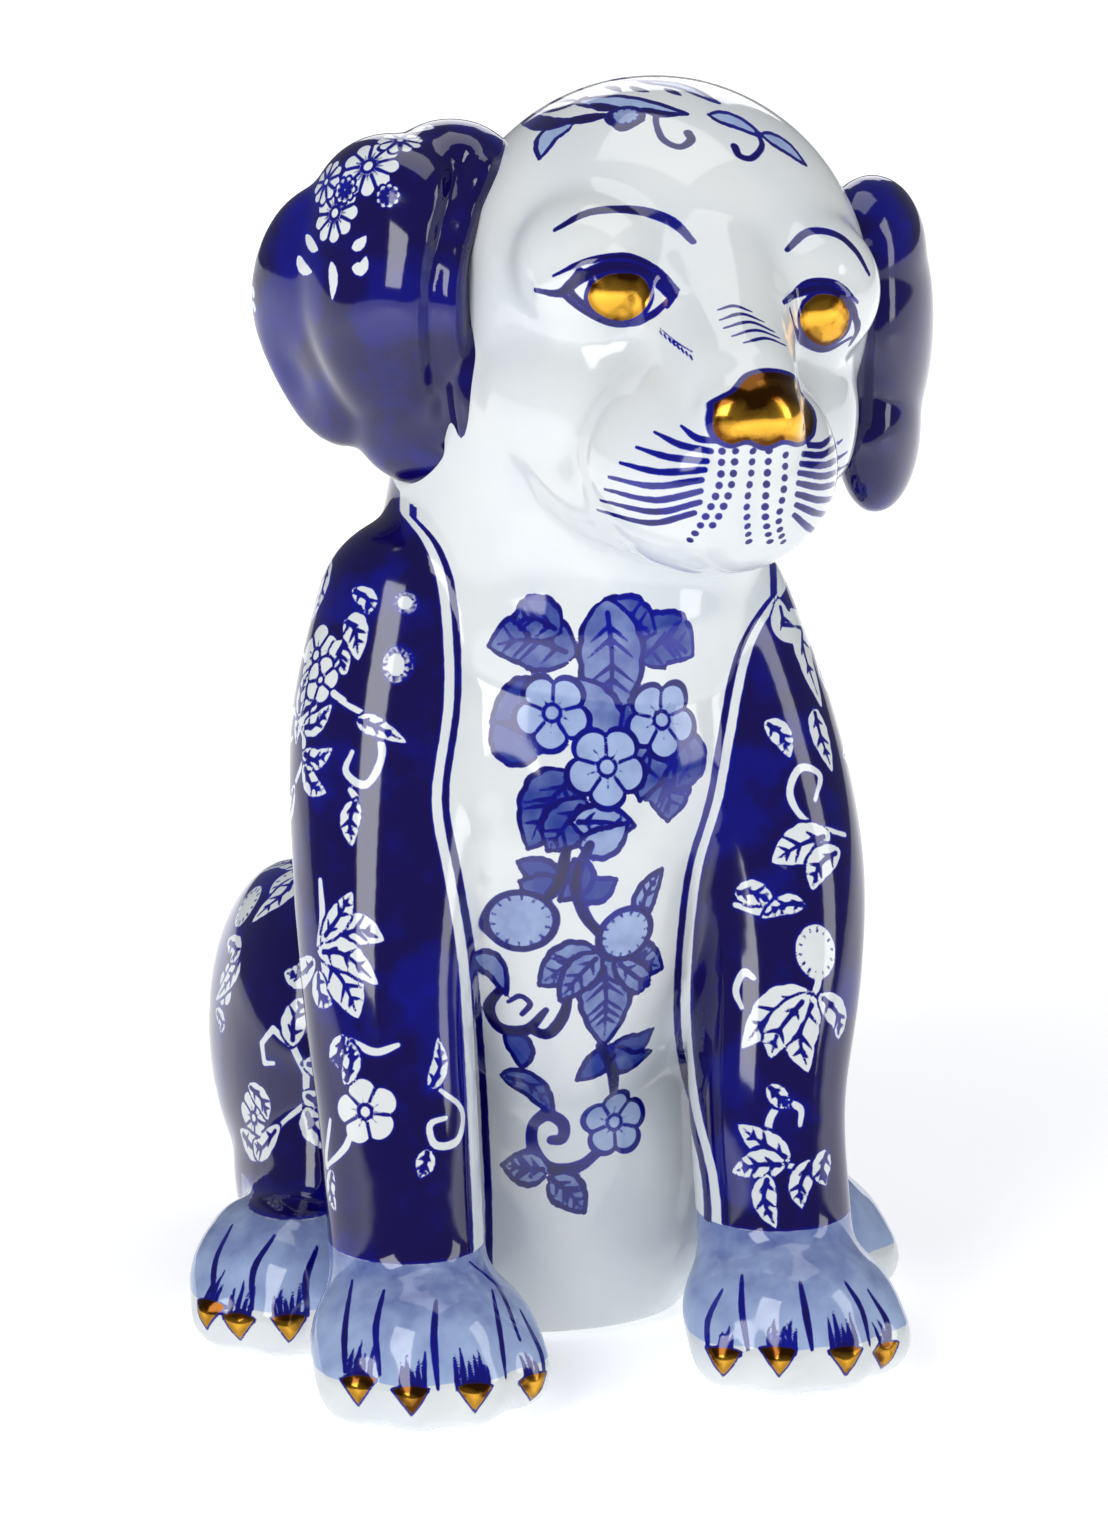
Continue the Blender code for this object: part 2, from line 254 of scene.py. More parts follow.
def painted_glaze(name):
    made, shader, start = new_material(name)

    def stored(field):
        return start.node("ShaderNodeAttribute", {"attribute_name": field}, output="Fac")

    wobble = (noise(start, 380.0, 2.0) - 0.5) * 0.3
    cobalt = stored("cobalt") + wobble
    wash = stored("wash") + wobble
    gold = stored("gold") + wobble * 0.5
    slow = noise(start, 45.0, 4.0)
    brush = noise(start, 170.0, 5.0)
    body = slow.step(0.35, 0.7).mix(PORCELAIN, PORCELAIN_SHADE)
    strength = stored("tone") + (brush - 0.5) * 0.7
    washed = strength.step(0.0, 1.0).mix(WASH_LIGHT, WASH_MID)
    thin = (1.0 - (cobalt * -1.0).step(0.0, 0.7)) * 0.75
    thin = thin + brush.step(0.5, 0.8) * 0.25 + slow.step(0.5, 0.62) * 0.45
    deep = thin.mix(COBALT_DARK, COBALT_BRIGHT)
    colour = (1.0 - wash.step(-0.12, 0.12)).mix(body, washed)
    colour = (1.0 - cobalt.step(-0.12, 0.12)).mix(colour, deep)
    is_gold = 1.0 - gold.step(-0.08, 0.08)
    # Painted reflection and shade on the gold: it is mixed towards dark brown where it faces upward,
    # near the edge of each gold patch, and in random patches. This stands in for the dark surroundings
    # that real gilding reflects.
    facing = start.node("ShaderNodeNewGeometry", output="Normal")
    height = start.node("ShaderNodeSeparateXYZ", inputs={"Vector": facing}, output="Z")
    rim = 1.0 - (gold * -1.0).step(0.3, 1.6)
    painted_reflection = height.step(0.15, 0.55) * 0.9 + rim * 0.55 + brush.step(0.47, 0.6) * 0.55
    colour = is_gold.mix(colour, painted_reflection.mix(GOLD, GOLD_DARK_REFLECTION))
    feed(shader, "Base Color", colour)
    feed(shader, "Metallic", is_gold)
    feed(shader, "Roughness", 0.07 + is_gold * 0.08 + slow * 0.03)
    ripple = noise(start, 60.0, 1.0)
    inputs = {"Height": ripple, "Strength": 0.06, "Distance": 0.002}
    feed(shader, "Normal", start.node("ShaderNodeBump", {}, inputs))
    shader.inputs["IOR"].default_value = 1.52
    shader.inputs["Coat Weight"].default_value = 0.1
    shader.inputs["Coat Roughness"].default_value = 0.03
    return made


glaze = painted_glaze("painted_glaze")
ear_glaze = painted_glaze("ear_glaze")


def rubber(name, colour, roughness):
    made, shader, start = new_material(name)
    grain = noise(start, 1400.0, 2.0)
    lighter = tuple(min(1.0, c * 1.12) for c in colour)
    feed(shader, "Base Color", noise(start, 120.0).mix(colour, lighter))
    feed(shader, "Roughness", roughness + grain * 0.12)
    inputs = {"Height": grain, "Strength": 0.25, "Distance": 0.0002}
    feed(shader, "Normal", start.node("ShaderNodeBump", {}, inputs))
    return made


def refinish(names, finish):
    for name in names:
        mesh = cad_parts[name].data
        mesh.materials.clear()
        mesh.materials.append(finish)
    print("rubber on", ", ".join(names))


PADS = ["pad_front_right", "pad_front_left", "pad_hind_right", "pad_hind_left"]
refinish(PADS, rubber("pad_rubber", linear(196, 199, 203), 0.4))
refinish(["base_stopper"], rubber("stopper_rubber", linear(214, 216, 219), 0.6))

# %% [markdown]
# The castings. The master for such a mould is modelled in clay, lump on lump, and then
# smoothed. The same is done here: balls and chains of balls are fused by a voxel remesh
# and smoothed. The lumps repeat the CAD model's, in millimetres, and the finished skin is
# moved to the middle of the CAD torso's plan, so the two agree. A Boolean union would keep every
# crease between lumps, and metaballs would swell where they meet.

# %% Lumps
HEAD_CENTRE = Vector((24, -15, 204))
HEAD_ROLL = math.radians(8)
BALL_STEPS = 7

TRUNK = (
    # centre, radii, turn about z
    ((6, -6, 112), (45, 47, 50), 0),
    ((5, 4, 84), (46, 52, 60), 0),
    ((3, 12, 48), (50, 52, 62), 0),
    ((2, 10, 22), (50, 54, 36), 0),
    ((9, -12, 145), (37, 38, 34), 0),
    ((8, 6, 142), (33, 32, 42), 0),
    ((3, -24, 96), (30, 32, 58), 0),
    ((2, -22, 30), (34, 22, 44), 0),
    ((-40, 22, 50), (18.5, 36, 36), -6),
    ((38, 22, 53), (17, 36, 38), 6),
    ((-44, 4, 26), (13, 26, 24), 0),
    ((42, 4, 26), (13, 26, 24), 0),
)
LIMBS = (
    # x, y, z, radius: right leg, left leg, tail
    ((-24, -14, 146, 20), (-29, -22, 124, 22), (-34, -34, 98, 19.5), (-37, -44, 76, 17),
     (-37, -52, 52, 15.8), (-37, -57, 30, 15.6), (-37, -60, 18, 16)),
    ((33, -16, 142, 20), (38, -22, 118, 22.5), (42, -32, 96, 21), (42, -42, 76, 18),
     (38, -52, 52, 15.8), (38, -57, 30, 15.6), (38, -60, 18, 16)),
    ((2, 58, 12, 9), (-12, 60, 12, 8.5), (-26, 56, 12, 7.5), (-37, 48, 13, 6)),
    ((14, -14, 186, 37), (11, -10, 168, 38), (9, -8, 150, 39)),
)
# Heel x and y, turn about z, and size of each paw.
PAWS = ((-36.5, -62, 0, 1.07), (38, -62, 0, 1.03), (-51, -16, -6, 1.0), (50, -16, 6, 1.0))
TOES = ((-14.5, -13, 7.6), (-5.2, -18, 8.2), (5.2, -18, 8.2), (14.5, -13, 7.6))
HEAD = (
    ((0, 0, 3), (43, 44, 44), 0),
    ((0, -16, -14), (39, 36, 28), 0),
    ((0, -50, -19), (25, 27, 22), 0),
    ((0, -30, -27), (29, 30, 15), 0),
    ((-20, -26, 12), (17, 19, 16), 0),
    ((20, -26, 12), (17, 19, 16), 0),
    ((0, -72, -6), (11, 7, 8.5), 0),
)
NOSE_BRIDGE = ((0, -30, 10, 18), (0, -48, 2, 14.5), (0, -62, -3, 12))
EAR_RIGHT = (
    ((-14, -6, 229), (14, 16, 14), 30),
    ((-26, -8, 222), (15, 20, 19), 30),
    ((-30, -12, 209), (13, 22, 26), 30),
    ((-36, -2, 204), (11, 21, 27), 40),
    ((-24, -16, 190), (9, 18, 18), 40),
    ((-14, -26, 190), (6.5, 7, 18), 40),
)
EAR_LEFT = (
    ((70, -12, 212), (11, 17, 17), -34),
    ((73, -13, 198), (9, 18, 26), -34),
    ((71, -16, 178), (8, 15, 17), -34),
)


def ball(centre, radii, turn=0, within=Matrix()):
    turned = Matrix.Rotation(math.radians(turn), 4, "Z")
    return within @ Matrix.Translation(centre) @ turned @ Matrix.Diagonal((*radii, 1))


def curve(stations, steps=BALL_STEPS):
    """Points on a smooth curve through the stations, whatever each station holds."""
    rows = [np.array(s, float) for s in stations]
    rows = [2 * rows[0] - rows[1], *rows, 2 * rows[-1] - rows[-2]]
    found = []
    for a, b, c, d in zip(rows, rows[1:], rows[2:], rows[3:]):
        for t in np.linspace(0, 1, steps, endpoint=False):
            cubic = (2 * a - 5 * b + 4 * c - d) * t**2 + (3 * b - a - 3 * c + d) * t**3
            found.append(b + 0.5 * ((c - a) * t + cubic))
    found.append(rows[-2])
    return np.array(found)


def limb(stations, within=Matrix(), steps=BALL_STEPS):
    return [ball(row[:3], (row[3],) * 3, 0, within) for row in curve(stations, steps)]


def paw(x, y, turn, size):
    within = Matrix.Translation((x, y, 2)) @ Matrix.Rotation(math.radians(turn), 4, "Z")
    within = within @ Matrix.Scale(size, 4)
    made = [ball((0, -4, 10), (20, 22, 17), 0, within)]
    for side, reach, radius in TOES:
        made += limb(((0.55 * side, 4, 17, radius), (0.9 * side, reach + 8, 12.5, radius + 0.4),
                      (side, reach - 2, 7, radius)), within, 4)
    return made


def puppy_lumps():
    on_head = Matrix.Translation(HEAD_CENTRE) @ Matrix.Rotation(HEAD_ROLL, 4, "Y")
    made = [ball(*lump) for lump in TRUNK]
    made += [ball(*lump, on_head) for lump in HEAD] + limb(NOSE_BRIDGE, on_head)
    for stations in LIMBS:
        made += limb(stations)
    for where in PAWS:
        made += paw(*where)
    return made


def link(name, mesh):
    made = bpy.data.objects.new(name, mesh)
    bpy.context.scene.collection.objects.link(made)
    return made


def settle(obj):
    """Applies the modifiers."""
    graph = bpy.context.evaluated_depsgraph_get()
    mesh = bpy.data.meshes.new_from_object(obj.evaluated_get(graph))
    obj.modifiers.clear()
    obj.data = mesh


def clay(name, lumps, voxel, rounds):
    """The lumps fused and smoothed into one skin, in metres, where part.py drew them."""
    bm = bmesh.new()
    bmesh.ops.create_uvsphere(bm, u_segments=40, v_segments=26, radius=1)
    corners = np.array([v.co for v in bm.verts])
    faces = [[v.index for v in f.verts] for f in bm.faces]
    bm.free()
    points, loops = [], []
    for count, lump in enumerate(lumps):
        matrix = np.array(lump)
        points.append((corners @ matrix[:3, :3].T + matrix[:3, 3]) * MM)
        loops += [[count * len(corners) + i for i in face] for face in faces]
    mesh = bpy.data.meshes.new(name)
    mesh.from_pydata(np.concatenate(points), [], loops)
    obj = link(name, mesh)
    fuse = obj.modifiers.new("fuse", "REMESH")
    fuse.mode = "VOXEL"
    fuse.voxel_size = voxel
    soften = obj.modifiers.new("soften", "SMOOTH")
    soften.factor = 0.5
    soften.iterations = rounds
    settle(obj)
    return obj


# %% Skin
SKIN_VOXEL = 1.3 * MM
SKIN_ROUNDS = 34
EAR_VOXEL = 0.9 * MM
EAR_ROUNDS = 40
skin = clay("skin", puppy_lumps(), SKIN_VOXEL, SKIN_ROUNDS)
ears = [clay("ear_right_skin", [ball(*lump) for lump in EAR_RIGHT], EAR_VOXEL, EAR_ROUNDS),
        clay("ear_left_skin", [ball(*lump) for lump in EAR_LEFT], EAR_VOXEL, EAR_ROUNDS)]


def points_of(mesh):
    found = np.empty(len(mesh.vertices) * 3)
    mesh.vertices.foreach_get("co", found)
    return found.reshape(-1, 3)


def normals_of(mesh):
    found = np.empty(len(mesh.vertices) * 3)
    mesh.vertices.foreach_get("normal", found)
    return found.reshape(-1, 3)


def put(mesh, points):
    mesh.vertices.foreach_set("co", points.ravel())
    mesh.update()


# The drawn origin and the frame's origin differ by a plan shift, read off the torso.
torso_low, torso_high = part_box("torso_casting")
drawn = points_of(skin.data)
TORSO_TOP = 0.15
below = drawn[:, 2] < TORSO_TOP
drawn_low, drawn_high = drawn[below].min(0), drawn[below].max(0)
shift = np.array([(torso_low[i] + torso_high[i]) / 2 - (drawn_low[i] + drawn_high[i]) / 2
                  for i in (0, 1)] + [0.0])
for obj in [skin, *ears]:
    put(obj.data, points_of(obj.data) + shift)
print("skin corners", len(drawn), "shift in mm", [round(v / MM, 2) for v in shift])

# %% [markdown]
# The slip-cast bank has a coin slot across the crown, a flat ground foot and a hole in
# the base. Exact Booleans cut them, because they need true edges. This skin is solid
# inside, so both openings are blind pockets here; the CAD castings are hollow.

# %% Openings
HOLE_RADIUS = 16 * MM
SLOT_LENGTH = 36 * MM
SLOT_WIDTH = 4.8 * MM
SLOT_MIDDLE = Vector((31, 4, 240)) * MM + Vector(shift)
stopper_low, stopper_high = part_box("base_stopper")
hole_middle = ((stopper_low[0] + stopper_high[0]) / 2, (stopper_low[1] + stopper_high[1]) / 2)
foot_level = torso_low[2]
GROUND_BLOCK = 1.0
HOLE_CUT = 30 * MM
HOLE_CUT_MIDDLE = 2 * MM
SLOT_CUT_BELOW = -22 * MM
SLOT_CUT = 45 * MM
SLOT_END_STEPS = 12


def cutter(name, bm, matrix):
    bmesh.ops.transform(bm, matrix=matrix, verts=bm.verts)
    bmesh.ops.recalc_face_normals(bm, faces=bm.faces)
    mesh = bpy.data.meshes.new(name)
    bm.to_mesh(mesh)
    bm.free()
    return link(name, mesh)


def cut(obj, tool):
    trim = obj.modifiers.new("cut", "BOOLEAN")
    trim.operation = "DIFFERENCE"
    trim.solver = "EXACT"
    trim.object = tool
    settle(obj)
    bpy.data.objects.remove(tool)


bm = bmesh.new()
bmesh.ops.create_cube(bm, size=GROUND_BLOCK)
cut(skin, cutter("ground", bm, Matrix.Translation((0, 0, foot_level - GROUND_BLOCK / 2))))
bm = bmesh.new()
bmesh.ops.create_cone(bm, cap_ends=True, segments=64,
                      radius1=HOLE_RADIUS, radius2=HOLE_RADIUS, depth=HOLE_CUT)
cut(skin, cutter("hole", bm, Matrix.Translation((*hole_middle, HOLE_CUT_MIDDLE))))
bm = bmesh.new()
radius = SLOT_WIDTH / 2
run = SLOT_LENGTH / 2 - radius
rim = []
for side in (1, -1):
    for step in range(SLOT_END_STEPS + 1):
        angle = side * math.pi / 2 - math.pi * step / SLOT_END_STEPS
        x = side * run + radius * math.cos(angle)
        rim.append(bm.verts.new((x, radius * math.sin(angle), SLOT_CUT_BELOW)))
bm.faces.new(rim)
grown = bmesh.ops.extrude_face_region(bm, geom=bm.faces[:])["geom"]
lifted = [v for v in grown if isinstance(v, bmesh.types.BMVert)]
bmesh.ops.translate(bm, verts=lifted, vec=(0, 0, SLOT_CUT))
slot_place = Matrix.Translation(SLOT_MIDDLE) @ Matrix.Rotation(HEAD_ROLL, 4, "Y")
cut(skin, cutter("slot", bm, slot_place))
print("after cuts", len(skin.data.vertices), "corners")

# %% [markdown]
# Small forms are pushed into the clay: a corner moves along its normal by an amount that
# fades with its distance from a point or a line. This is what a modelling tool does, and
# it keeps the mesh as it is.

# %% Looking through the drawing
# (across, up) in millimetres on an upright sheet through the middle of the puppy, as seen
# from the eye point; the mark lands where the line of sight first meets the surface.


def surface_of(*objs):
    bm = bmesh.new()
    for obj in objs:
        bm.from_mesh(obj.data)
    tree = BVHTree.FromBMesh(bm)
    bm.free()
    return tree


def seen(point, tree):
    target = AIM + across * point[0] * MM + upward * point[1] * MM
    place, normal, _, _ = tree.ray_cast(eye_point, (target - eye_point).normalized())
    if place is None:
        place, normal, _, _ = tree.find_nearest(target)
    return np.array(place), np.array(normal)


def drawn_path(points, tree, steps=5):
    """A smooth line through drawn points, laid on the surface."""
    flat = curve(points, steps) if len(points) > 2 else np.linspace(points[0], points[1], 6)
    found = [seen(p, tree) for p in flat]
    return np.array([f[0] for f in found]), np.array([f[1] for f in found])


def distance_to(points, path):
    """Distance from each point to the path, and how far along the path that is, 0 to 1."""
    starts, runs = path[:-1], path[1:] - path[:-1]
    lengths = np.maximum((runs**2).sum(1), 1e-14)
    away = points[:, None, :] - starts[None]
    share = np.clip((away * runs[None]).sum(2) / lengths, 0, 1)
    gaps = np.linalg.norm(away - share[..., None] * runs[None], axis=2)
    best = gaps.argmin(1)
    rows = np.arange(len(points))
    along = (best + share[rows, best]) / len(runs)
    return gaps[rows, best], along


def close_to(points, path, reach):
    low, high = path.min(0) - reach, path.max(0) + reach
    return np.nonzero(((points > low) & (points < high)).all(1))[0]


def push(obj, path, width, height):
    """Raises (or sinks, below zero) a soft ridge along a path."""
    points, normals = points_of(obj.data), normals_of(obj.data)
    which = close_to(points, path, 3 * width)
    gaps, _ = distance_to(points[which], path)
    points[which] += normals[which] * (height * np.exp(-((gaps / width) ** 2)))[:, None]
    put(obj.data, points)


# %% Modelling with small tools
clay_tree = surface_of(skin)
ear_tree = surface_of(ears[0])
far_ear_tree = surface_of(ears[1])

EYE_RIGHT = (12.4, 92.2)
EYE_LEFT = (52.9, 87.9)
CLAWS_SEEN = ((-38.7, -123.2), (-28.0, -125.6), (-15.6, -124.8), (-3.8, -123.2),
              (33.4, -118.1), (44.6, -117.9), (57.9, -117.5), (65.6, -116.9),
              (-68.9, -108.2), (-62.4, -111.0), (-52.1, -111.4))

for spot, width in ((EYE_RIGHT, 6.0), (EYE_LEFT, 5.5)):
    place, _ = seen(spot, clay_tree)
    push(skin, np.array([place, place + 1e-6]), width * MM, 1.5 * MM)
LIDS = (((-2.8, 93.6), (5.1, 98.4), (13.0, 99.9), (19.9, 97.6), (24.1, 91.6)),
        ((45.0, 91.6), (48.6, 94.0), (54.1, 94.8), (58.5, 92.4)))
for lid in LIDS:
    push(skin, drawn_path(lid, clay_tree)[0], 1.6 * MM, 0.7 * MM)
CHEEK_FOLDS = (((30.0, 61.0), (26.9, 54.1), (28.8, 44.2)), ((57.5, 62.0), (56.1, 54.1), (51.0, 43.3)))
CHIN_GROOVE = ((41.5, 62.4), (41.1, 54.1), (39.1, 42.3))
for line in CHEEK_FOLDS:
    push(skin, drawn_path(line, clay_tree)[0], 5 * MM, 0.8 * MM)
push(skin, drawn_path(CHIN_GROOVE, clay_tree)[0], 3.0 * MM, -0.9 * MM)
for spot in CLAWS_SEEN:
    place, _ = seen(spot, clay_tree)
    push(skin, np.array([place, place + 1e-6]), 2.2 * MM, 0.9 * MM)
EAR_GROOVE = ((-18.2, 119.3), (-20.9, 107.4), (-24.1, 93.6), (-23.3, 77.8), (-20.9, 64.0))
EAR_RIDGE = ((-13.8, 118.3), (-17.0, 106.5), (-19.8, 91.6), (-18.2, 75.8), (-17.0, 62.0))
EAR_SWELL = ((-50.2, 75.8), (-41.3, 85.7), (-34.4, 91.6))
EAR_DENT = (-53.5, 74.9)
FAR_EAR_GROOVE = ((62.0, 101.5), (61.6, 85.7), (60.8, 67.9))
push(ears[0], drawn_path(EAR_GROOVE, ear_tree)[0], 2.6 * MM, -1.8 * MM)
push(ears[0], drawn_path(EAR_RIDGE, ear_tree)[0], 2.6 * MM, 1.4 * MM)
push(ears[0], drawn_path(EAR_SWELL, ear_tree)[0], 9 * MM, 1.0 * MM)
push(ears[1], drawn_path(FAR_EAR_GROOVE, far_ear_tree)[0], 2.4 * MM, -1.2 * MM)
place, _ = seen(EAR_DENT, ear_tree)
push(ears[0], np.array([place, place + 1e-6]), 12 * MM, -5 * MM)
print("modelled eyes, lids, muzzle, claws and ear rolls")

# %% [markdown]
# The painting. Every mark is a list of points on the drawing sheet, dropped onto the
# glaze, and its shape is a rule: a brush stroke is a line with a width that swells and
# tapers, a leaf is a short fat stroke with veins, a blossom is a wavy circle. For every
# corner near a mark the distance to its edge is worked out, and marks are combined in the
# order they are painted: laid on, or lifted off to leave white porcelain.

# %% Brush
FAR = 9.0


class Painting:
    """An ordered list of marks, which can be worked out for any set of corners."""

    def __init__(self, ground):
        self.ground = ground
        self.marks = []

    def fields(self, points, normals):
        count = len(points)
        found = {name: np.full(count, FAR) for name in ("cobalt", "wash", "gold")}
        found["tone"] = np.full(count, 0.3)
        self.ground(points, normals, found)
        for reach, path, facing, shape, layer, tone in self.marks:
            which = close_to(points, path, reach)
            which = which[normals[which] @ facing > 0.05]
            if len(which):
                blend(found, which, shape(points[which]), layer, tone)
        return found

    def add(self, reach, path, facing, shape, layer, tone=0.3):
        self.marks.append((reach, path, facing, shape, layer, tone))


def blend(found, which, gap, layer, tone):
    if layer == "lift":
        found["cobalt"][which] = np.maximum(found["cobalt"][which], -gap)
        found["wash"][which] = np.maximum(found["wash"][which], -gap)
        return
    if layer == "lift_cobalt":
        found["cobalt"][which] = np.maximum(found["cobalt"][which], -gap)
        return
    found[layer][which] = np.minimum(found[layer][which], gap)
    if layer == "wash":
        inside = which[gap < 0.4]
        found["tone"][inside] = tone


def swell(along, start, middle, end):
    """A brush width: start, middle and end, joined smoothly."""
    bend = 2 * middle - (start + end) / 2
    return start * (1 - along) ** 2 + 2 * bend * along * (1 - along) + end * along**2


class Brush:
    def __init__(self, painting, tree):
        self.painting = painting
        self.tree = tree

    def lay(self, points, widths, layer="cobalt"):
        """One brush stroke through drawn points, with widths in millimetres."""
        path, facing = self.route(points)
        widths = (widths,) * 3 if isinstance(widths, (int, float)) else widths
        reach = (max(widths) + 1.5) * MM

        def shape(places):
            gaps, along = distance_to(places, path)
            return gaps / MM - np.maximum(swell(along, *widths) / 2, 0.0)

        self.painting.add(reach, path, facing, shape, layer)

    def route(self, points):
        if isinstance(points, np.ndarray):
            fine = curve(points, 5) if len(points) < 8 else points
            found = [self.tree.find_nearest(Vector(p))[:2] for p in fine]
            path = np.array([f[0] for f in found])
            facing = np.array([f[1] for f in found]).mean(0)
        else:
            path, facings = drawn_path(points, self.tree)
            facing = facings.mean(0)
        return path, facing / max(np.linalg.norm(facing), 1e-6)

    def spot(self, point):
        """Place, right and up on the surface at a drawn point, or at a ready-made spot."""
        if isinstance(point, tuple) and len(point) == 3:
            return point
        place, normal = seen(point, self.tree)
        return frame_at(place, normal)

    def local(self, spot, offsets):
        place, right, up = spot
        return np.array([place + (x * right + y * up) * MM for x, y in offsets])

    def leaf(self, points, width, style, veins=4, tone=0.5):
        """A pointed leaf along a drawn spine, with a midrib and side veins."""
        path, facing = self.route(points)
        reach = (width + 1.5) * MM

        def shape(places):
            gaps, along = distance_to(places, path)
            half = width / 2 * np.sin(np.pi * np.clip(along, 0, 1) ** 0.8) ** 0.75
            return gaps / MM - half * (0.93 + 0.07 * np.abs(np.cos(along * 16)))

        put_style(self.painting, reach, path, facing, shape, style, tone)
        if veins:
            rib = path[1:-1]
            self.lay(rib, (1.2, 0.9, 0.5))
            self.veins(path, facing, width, veins)

    def veins(self, path, facing, width, count):
        ends = path[-1] - path[0]
        along = ends / max(np.linalg.norm(ends), 1e-9)
        sideways = np.cross(facing, along)
        for step in range(count):
            share = 0.22 + 0.56 * step / max(count - 1, 1)
            root = path[int(share * (len(path) - 1))]
            length = width * 0.42 * math.sin(math.pi * share**0.8)
            for side in (-1, 1):
                tip = root + (side * sideways * 0.85 + along * 0.75) * length * MM
                self.lay(np.array([root, (root + tip) / 2, tip]), (0.9, 0.8, 0.4))

    def blossom(self, point, radius, style, petals=5, turn=0.3, tone=0.25):
        place, right, up = spot = self.spot(point)
        facing = np.cross(right, up)

        def polar(places):
            away = (places - place) / MM
            x, y = away @ right, away @ up
            return np.hypot(x, y), np.arctan2(y, x) - turn

        def shape(places):
            away, angle = polar(places)
            rim = radius * (0.70 + 0.30 * np.abs(np.cos(petals / 2 * angle)) ** 0.6)
            return away - rim

        def gaps_between(places):
            away, angle = polar(places)
            turnside = np.abs(np.sin(petals / 2 * (angle + math.pi / petals))) * 2 / petals
            line = away * turnside - 0.4
            return np.maximum(line, np.maximum(0.30 * radius - away, away - 0.82 * radius))

        def eye(places):
            away, _ = polar(places)
            return np.abs(away - 0.22 * radius) - 0.4

        def whiskers(places):
            away, angle = polar(places)
            line = away * np.abs(np.sin(petals * angle)) / petals - 0.14
            return np.maximum(line, np.maximum(0.25 * radius - away, away - 0.52 * radius))

        reach = (radius + 2) * MM
        path = self.local(spot, ((0, 0), (0.01, 0)))
        put_style(self.painting, reach, path, facing, shape, style, tone)
        self.painting.add(reach, path, facing, gaps_between, "cobalt")
        self.painting.add(reach, path, facing, eye, "cobalt")
        if radius > 5:
            self.painting.add(reach, path, facing, whiskers, "cobalt")

    def fruit(self, point, wide, tall, turn, style, tone=0.3, dashes=14):
        place, right, up = spot = self.spot(point)
        facing = np.cross(right, up)
        cosine, sine = math.cos(turn), math.sin(turn)

        def scaled(places):
            away = (places - place) / MM
            x, y = away @ right, away @ up
            return (x * cosine + y * sine) / wide, (y * cosine - x * sine) / tall

        def shape(places):
            x, y = scaled(places)
            return (np.hypot(x, y) - 1) * min(wide, tall)

        def edge_dashes(places):
            x, y = scaled(places)
            away, angle = np.hypot(x, y), np.arctan2(y, x)
            spoke = np.abs(np.sin(dashes / 2 * angle)) * 2 / dashes * away * min(wide, tall) - 0.22
            return np.maximum(spoke, np.abs(away - 0.8) * min(wide, tall) - 0.45)

        reach = (max(wide, tall) + 2) * MM
        path = self.local(spot, ((0, 0), (0.01, 0)))
        put_style(self.painting, reach, path, facing, shape, style, tone)
        self.painting.add(reach, path, facing, edge_dashes, "cobalt")

    def dots(self, points, size, gap):
        path, facing = self.route(points)
        steps = np.concatenate([[0], np.cumsum(np.linalg.norm(np.diff(path, axis=0), axis=1))])
        for share in np.arange(0, steps[-1], gap * MM):
            at = np.array([np.interp(share, steps, path[:, i]) for i in range(3)])
            self.lay(np.array([at, at + 1e-6]), size)


def frame_at(place, normal):
    """Right and up directions on the surface at a place."""
    up = np.array([0, 0, 1.0]) - normal[2] * normal
    if np.linalg.norm(up) < 0.2:
        up = np.array([0, 1.0, 0]) - normal[1] * normal
    up = up / np.linalg.norm(up)
    return place, np.cross(up, normal), up


def put_style(painting, reach, path, facing, shape, style, tone):
    """spray: a wash outlined in cobalt. reserve: left white in the cobalt. dark: plain cobalt."""
    if style == "spray":
        painting.add(reach, path, facing, shape, "wash", tone)
        painting.add(reach, path, facing, shape, "lift_cobalt")
        painting.add(reach, path, facing, lambda p: np.abs(shape(p)) - 0.65, "cobalt")
    elif style == "reserve":
        painting.add(reach, path, facing, lambda p: shape(p) - 0.7, "cobalt")
        painting.add(reach, path, facing, shape, "lift")
    else:
        painting.add(reach, path, facing, shape, "cobalt")


print("brushes ready")

# %% [markdown]
# The torso's ground. Cobalt covers the legs, haunches and back. The chest panel stays
# white between two edges that run down the inner side of each leg, and the paws stay
# pale. The panel's edges are drawn on the surface once, and read back by height.

# %% Ground of the torso
body_tree = surface_of(skin)
RIGHT_EDGE = ((-30.4, 49.8), (-25.3, 42.7), (-22.5, 32.4), (-21.7, 12.6), (-24.1, -7.1), (-21.5, -22.9),
              (-19.0, -38.7), (-17.8, -54.5), (-17.0, -70.3), (-16.2, -86.1), (-15.8, -96.4))
LEFT_EDGE = ((45.8, 34.8), (39.1, 22.5), (35.4, 4.7), (33.2, -7.1), (28.8, -22.9), (26.9, -46.6),
             (28.6, -66.4), (32.4, -82.2), (33.2, -95.6))
right_path, _ = drawn_path(RIGHT_EDGE, body_tree, 8)
left_path, _ = drawn_path(LEFT_EDGE, body_tree, 8)
COLLAR_RIGHT = right_path[0][2]
COLLAR_BACK = 0.176
PAW_TOP_FRONT = 0.031
PAW_TOP_HIND = 0.027
FRONT_PAW_BACK = -0.028
HIND_PAW_BACK = 0.016
HIND_PAW_SIDE = 0.030
CHEST_FOOT = -0.041
PANEL_BACK = 0.012
COLLAR_FRONT = -0.02
COLLAR_RUN = 0.05
FOOT_TOP = 0.005
LINE_FOOT = 0.016
LINE_INSET = 2.6
LINE_HALF_WIDTH = 0.75
WASH_FOOT = 0.0125


def by_height(path, heights):
    """Where the edge is at each height, measured across the puppy as buyers see it."""
    order = path[:, 2].argsort()
    return np.interp(heights, path[order, 2], path[order] @ np.array(across))


